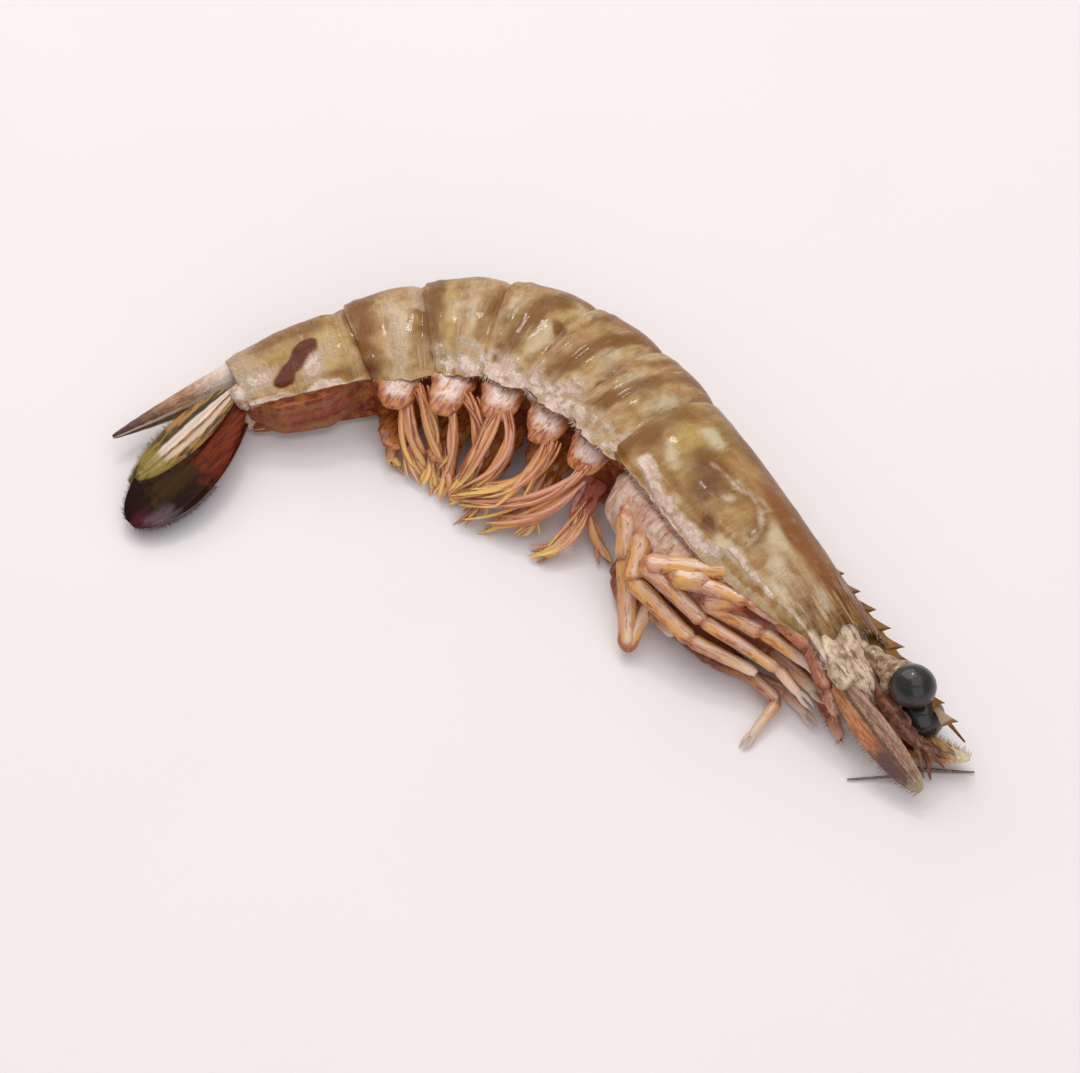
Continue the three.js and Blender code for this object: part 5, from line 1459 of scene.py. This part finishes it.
swim = Finish("swimming_leg", **{**WET, "Coat Weight": 0.6})
t, v, tone = swim.mark("along"), swim.mark("across"), swim.mark("tone")
blots, fine, big = swim.grain(1.3, 4), swim.grain(0.35, 3), swim.grain(5.0, 2)
streak = swim.grain(0.6, 3, 0.55, swim.spot((0.9, 4.0, 1.0), math.radians(-8)))
shift = (blots - 0.5) * 0.4 + (streak - 0.5) * 0.4
colour = swim.blend((t + shift + tone * 0.3).rise(0.1, 0.5), "bc6838", "e09a5c")
colour = swim.paint(
    colour, ((t + shift + (tone - 0.5) * 0.5).rise(0.5, 0.9) * 0.9, "eebe58"),
    ((tone + (big - 0.5)).rise(0.68, 0.8) * 0.75, "dd8c7a"),
    ((tone + (big - 0.5)).rise(0.3, 0.14) * 0.8, "96401e"),
    # Painted shade: darker red down the ribbons' edges; painted highlight: a pale line near their
    # middle.
    ((abs(v) + shift).rise(0.72, 1.1) * 0.5, "9a4522"),
    ((v + shift * 1.4).near(-0.1, 0.08, 0.3) * 0.35, "fbe2bc"))
stalk_colour = swim.blend(streak.rise(0.42, 0.6), "c0783a", "94481e")
stalk_colour = swim.paint(
    stalk_colour, ((tone.near(0.5, 0.1, 0.1)) * streak.rise(0.66, 0.5) * 0.85, "cf7866"),
    # Painted shade: darker red down the stalks' edges.
    ((abs(v) + shift).rise(0.75, 1.1) * 0.4, "7c3216"))
# Whitish patches on the upper stalks: partly their own pale colour, partly painted highlight.
white = (t + shift * 0.9).near(0.42, 0.22, 0.16) * (abs(v) + shift * 1.2).rise(0.85, 0.35)
white = white * (streak * 0.6 + blots * 0.4).rise(0.36, 0.54) * tone.rise(0.7, 0.9)
stalk_colour = swim.paint(
    stalk_colour, (white * 0.9, "f0dace"), (white * fine.rise(0.5, 0.62) * 0.6, "c89a8c"))
colour = swim.blend(swim.mark("stalk"), colour, stalk_colour)
swim = swim.close(colour, 0.2 + fine * 0.16, streak * 0.8 + blots * 0.4 + fine * 0.3, 0.14)
starts = np.cumsum([HEAD_LENGTH] + [length for length, _ in TAIL_STRETCHES])
chance = np.random.default_rng(7)
rows = []
for name, sign in (("right", 1), ("left", -1)):
    for i, (knee, *blades) in enumerate(SWIMMERS[name]):
        s = (starts[i] + starts[i + 1]) / 2
        hip = beside(s, -profile(s, EDGE) - LOBE + 3.2, sign * (5.0 if sign > 0 else 3.4))
        knee = np.array(knee) + FLOOR_CENTRE
        t = np.linspace(0, 1, 30)
        swell = PADDLE["stalk"] * np.interp(t, [0, 0.1, 0.35, 0.7, 0.88, 0.97, 1],
                                            [1.05, 1.05, 0.95, 0.76, 0.6, 0.45, 0.25])
        path = hip + np.outer(t, (knee - hip) * 1.25)
        swell = swell * (1 + 0.14 * wander(path, 1.4, 91 + i)) * (0.6 if sign < 0 and i == 0 else 1)
        # Upper stalks get tone 1 and the whitish patches; those on the floor side stay darker as
        # painted shade.
        tone = 1.0 if sign > 0 else 0.5 if i == 0 else 0.0
        parts_of_leg = [as_paddle(tube(path, swell, 0.22, 32, LYING, tone=tone), 1.0)]
        for kind, (run, ribbons) in enumerate(zip(blades, RIBBONS)):
            run = np.array(run) + FLOOR_CENTRE
            run[0] += (hip - knee) * 0.2 + [0, 0, 1.2 if sign > 0 else 0.4]
            parts_of_leg.append(ribbon(*run, PADDLE["blade"], 0.55 - 0.15 * kind, 0.5))
            last_bit = bezier(run, np.linspace(0.75, 1, 12))
            rows.append((last_bit, directions(last_bit), 0.9))
            for _ in range(ribbons):
                start, bend, tip = run + chance.normal(0, 1, (3, 3)) * ASTRAY
                tip = tip + (tip - bend) * chance.uniform(-0.3, 0.05)
                parts_of_leg.append(ribbon(start, bend, tip, chance.uniform(*PADDLE["ribbon"]),
                                           chance.uniform(0, 1), chance.normal(0, 0.6)))
        swimmer = piece(f"swimming_leg_{name}_{i + 1}", parts_of_leg, swim)
        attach(swimmer, "root")
        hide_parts(f"pleopod_{name}_{i + 1}")

# Fine hairs at the ends of the blades, clinging together.
amber_hair = Finish("amber_hair", **WET)
run, tone = amber_hair.mark("along"), amber_hair.mark("tone")
fine = amber_hair.grain(0.3, 3)
colour = amber_hair.blend(tone, "a8602c", "d9ac62")
colour = amber_hair.blend((run + tone * 0.4).rise(0.5, 1.1) * 0.8, colour, "e6c680")
amber_hair = amber_hair.close(colour, 0.24 + fine * 0.2, fine, 0.05)
strands = bristles("paddle_hairs", rows, Spacing=0.3 * MM, Thickness=0.08, Bend=0.12,
                   Spread=0.12, Seed=41, Finish=amber_hair)
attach(strands, "root")

# ---------------------------------------------------------------- floor, light and camera
# Stage only: a plain pale floor, a large soft lamp from behind on the left, a softer one overhead,
# a weak fill, a small lamp that gives the wet shell its sparkle, and the camera.
floor_mesh = bpy.data.meshes.new("floor")
reach = 3.0
floor_mesh.from_pydata([(-reach, -reach, 0), (reach, -reach, 0), (reach, reach, 0),
                        (-reach, reach, 0)], [], [(0, 1, 2, 3)])
floor = bpy.data.objects.new("floor", floor_mesh)
bpy.context.scene.collection.objects.link(floor)
ground = Finish("pale_floor", **{"Roughness": 0.6})
ground_colour = ground.blend(ground.grain(60, 2).rise(0.3, 0.7) * 0.3, "efe9e8", "eae4e3")
floor_mesh.materials.append(ground.close(ground_colour, 0.6, ground.grain(3), 0.02))

world = bpy.data.worlds.new("studio")
world.use_nodes = True
world.node_tree.nodes["Background"].inputs["Color"].default_value = linear("f3f5fa")
world.node_tree.nodes["Background"].inputs["Strength"].default_value = 0.42
bpy.context.scene.world = world
LAMPS = [("key", (-0.5, 0.45, 0.75), 0.9, 4.7, "fffaf6"),
         ("top", (0.15, 0.1, 1.0), 0.9, 3.0, "fffcfa"),
         ("fill", (0.6, -0.6, 0.5), 0.9, 2.5, "f6f8ff"),
         ("sparkle", (-0.3, 0.5, 0.8), 0.1, 0.9, "ffffff")]
for name, place_at, size, watts, tint in LAMPS:
    lamp = bpy.data.lights.new(name, "AREA")
    lamp.size = size
    lamp.energy = watts
    lamp.color = linear(tint)[:3]
    lamp_object = bpy.data.objects.new(name, lamp)
    lamp_object.location = place_at
    lamp_object.rotation_euler = (-Vector(place_at)).to_track_quat("-Z", "Y").to_euler()
    bpy.context.scene.collection.objects.link(lamp_object)

CAMERA_AT = Vector((0.18900, -0.33364, 0.54002))
LOOK = Vector((-0.29241, 0.49658, -0.81726))
ROLL = math.radians(-4.3033)
camera_data = bpy.data.cameras.new("camera")
camera_data.lens = 136.67
camera_data.sensor_width = 36
camera_data.clip_start = 0.01
camera = bpy.data.objects.new("camera", camera_data)
turn = LOOK.to_track_quat("-Z", "Y").to_matrix() @ Matrix.Rotation(ROLL, 3, "Z")
camera.matrix_world = Matrix.Translation(CAMERA_AT) @ turn.to_4x4()
bpy.context.scene.collection.objects.link(camera)
bpy.context.scene.camera = camera
bpy.context.scene.view_settings.view_transform = "Standard"
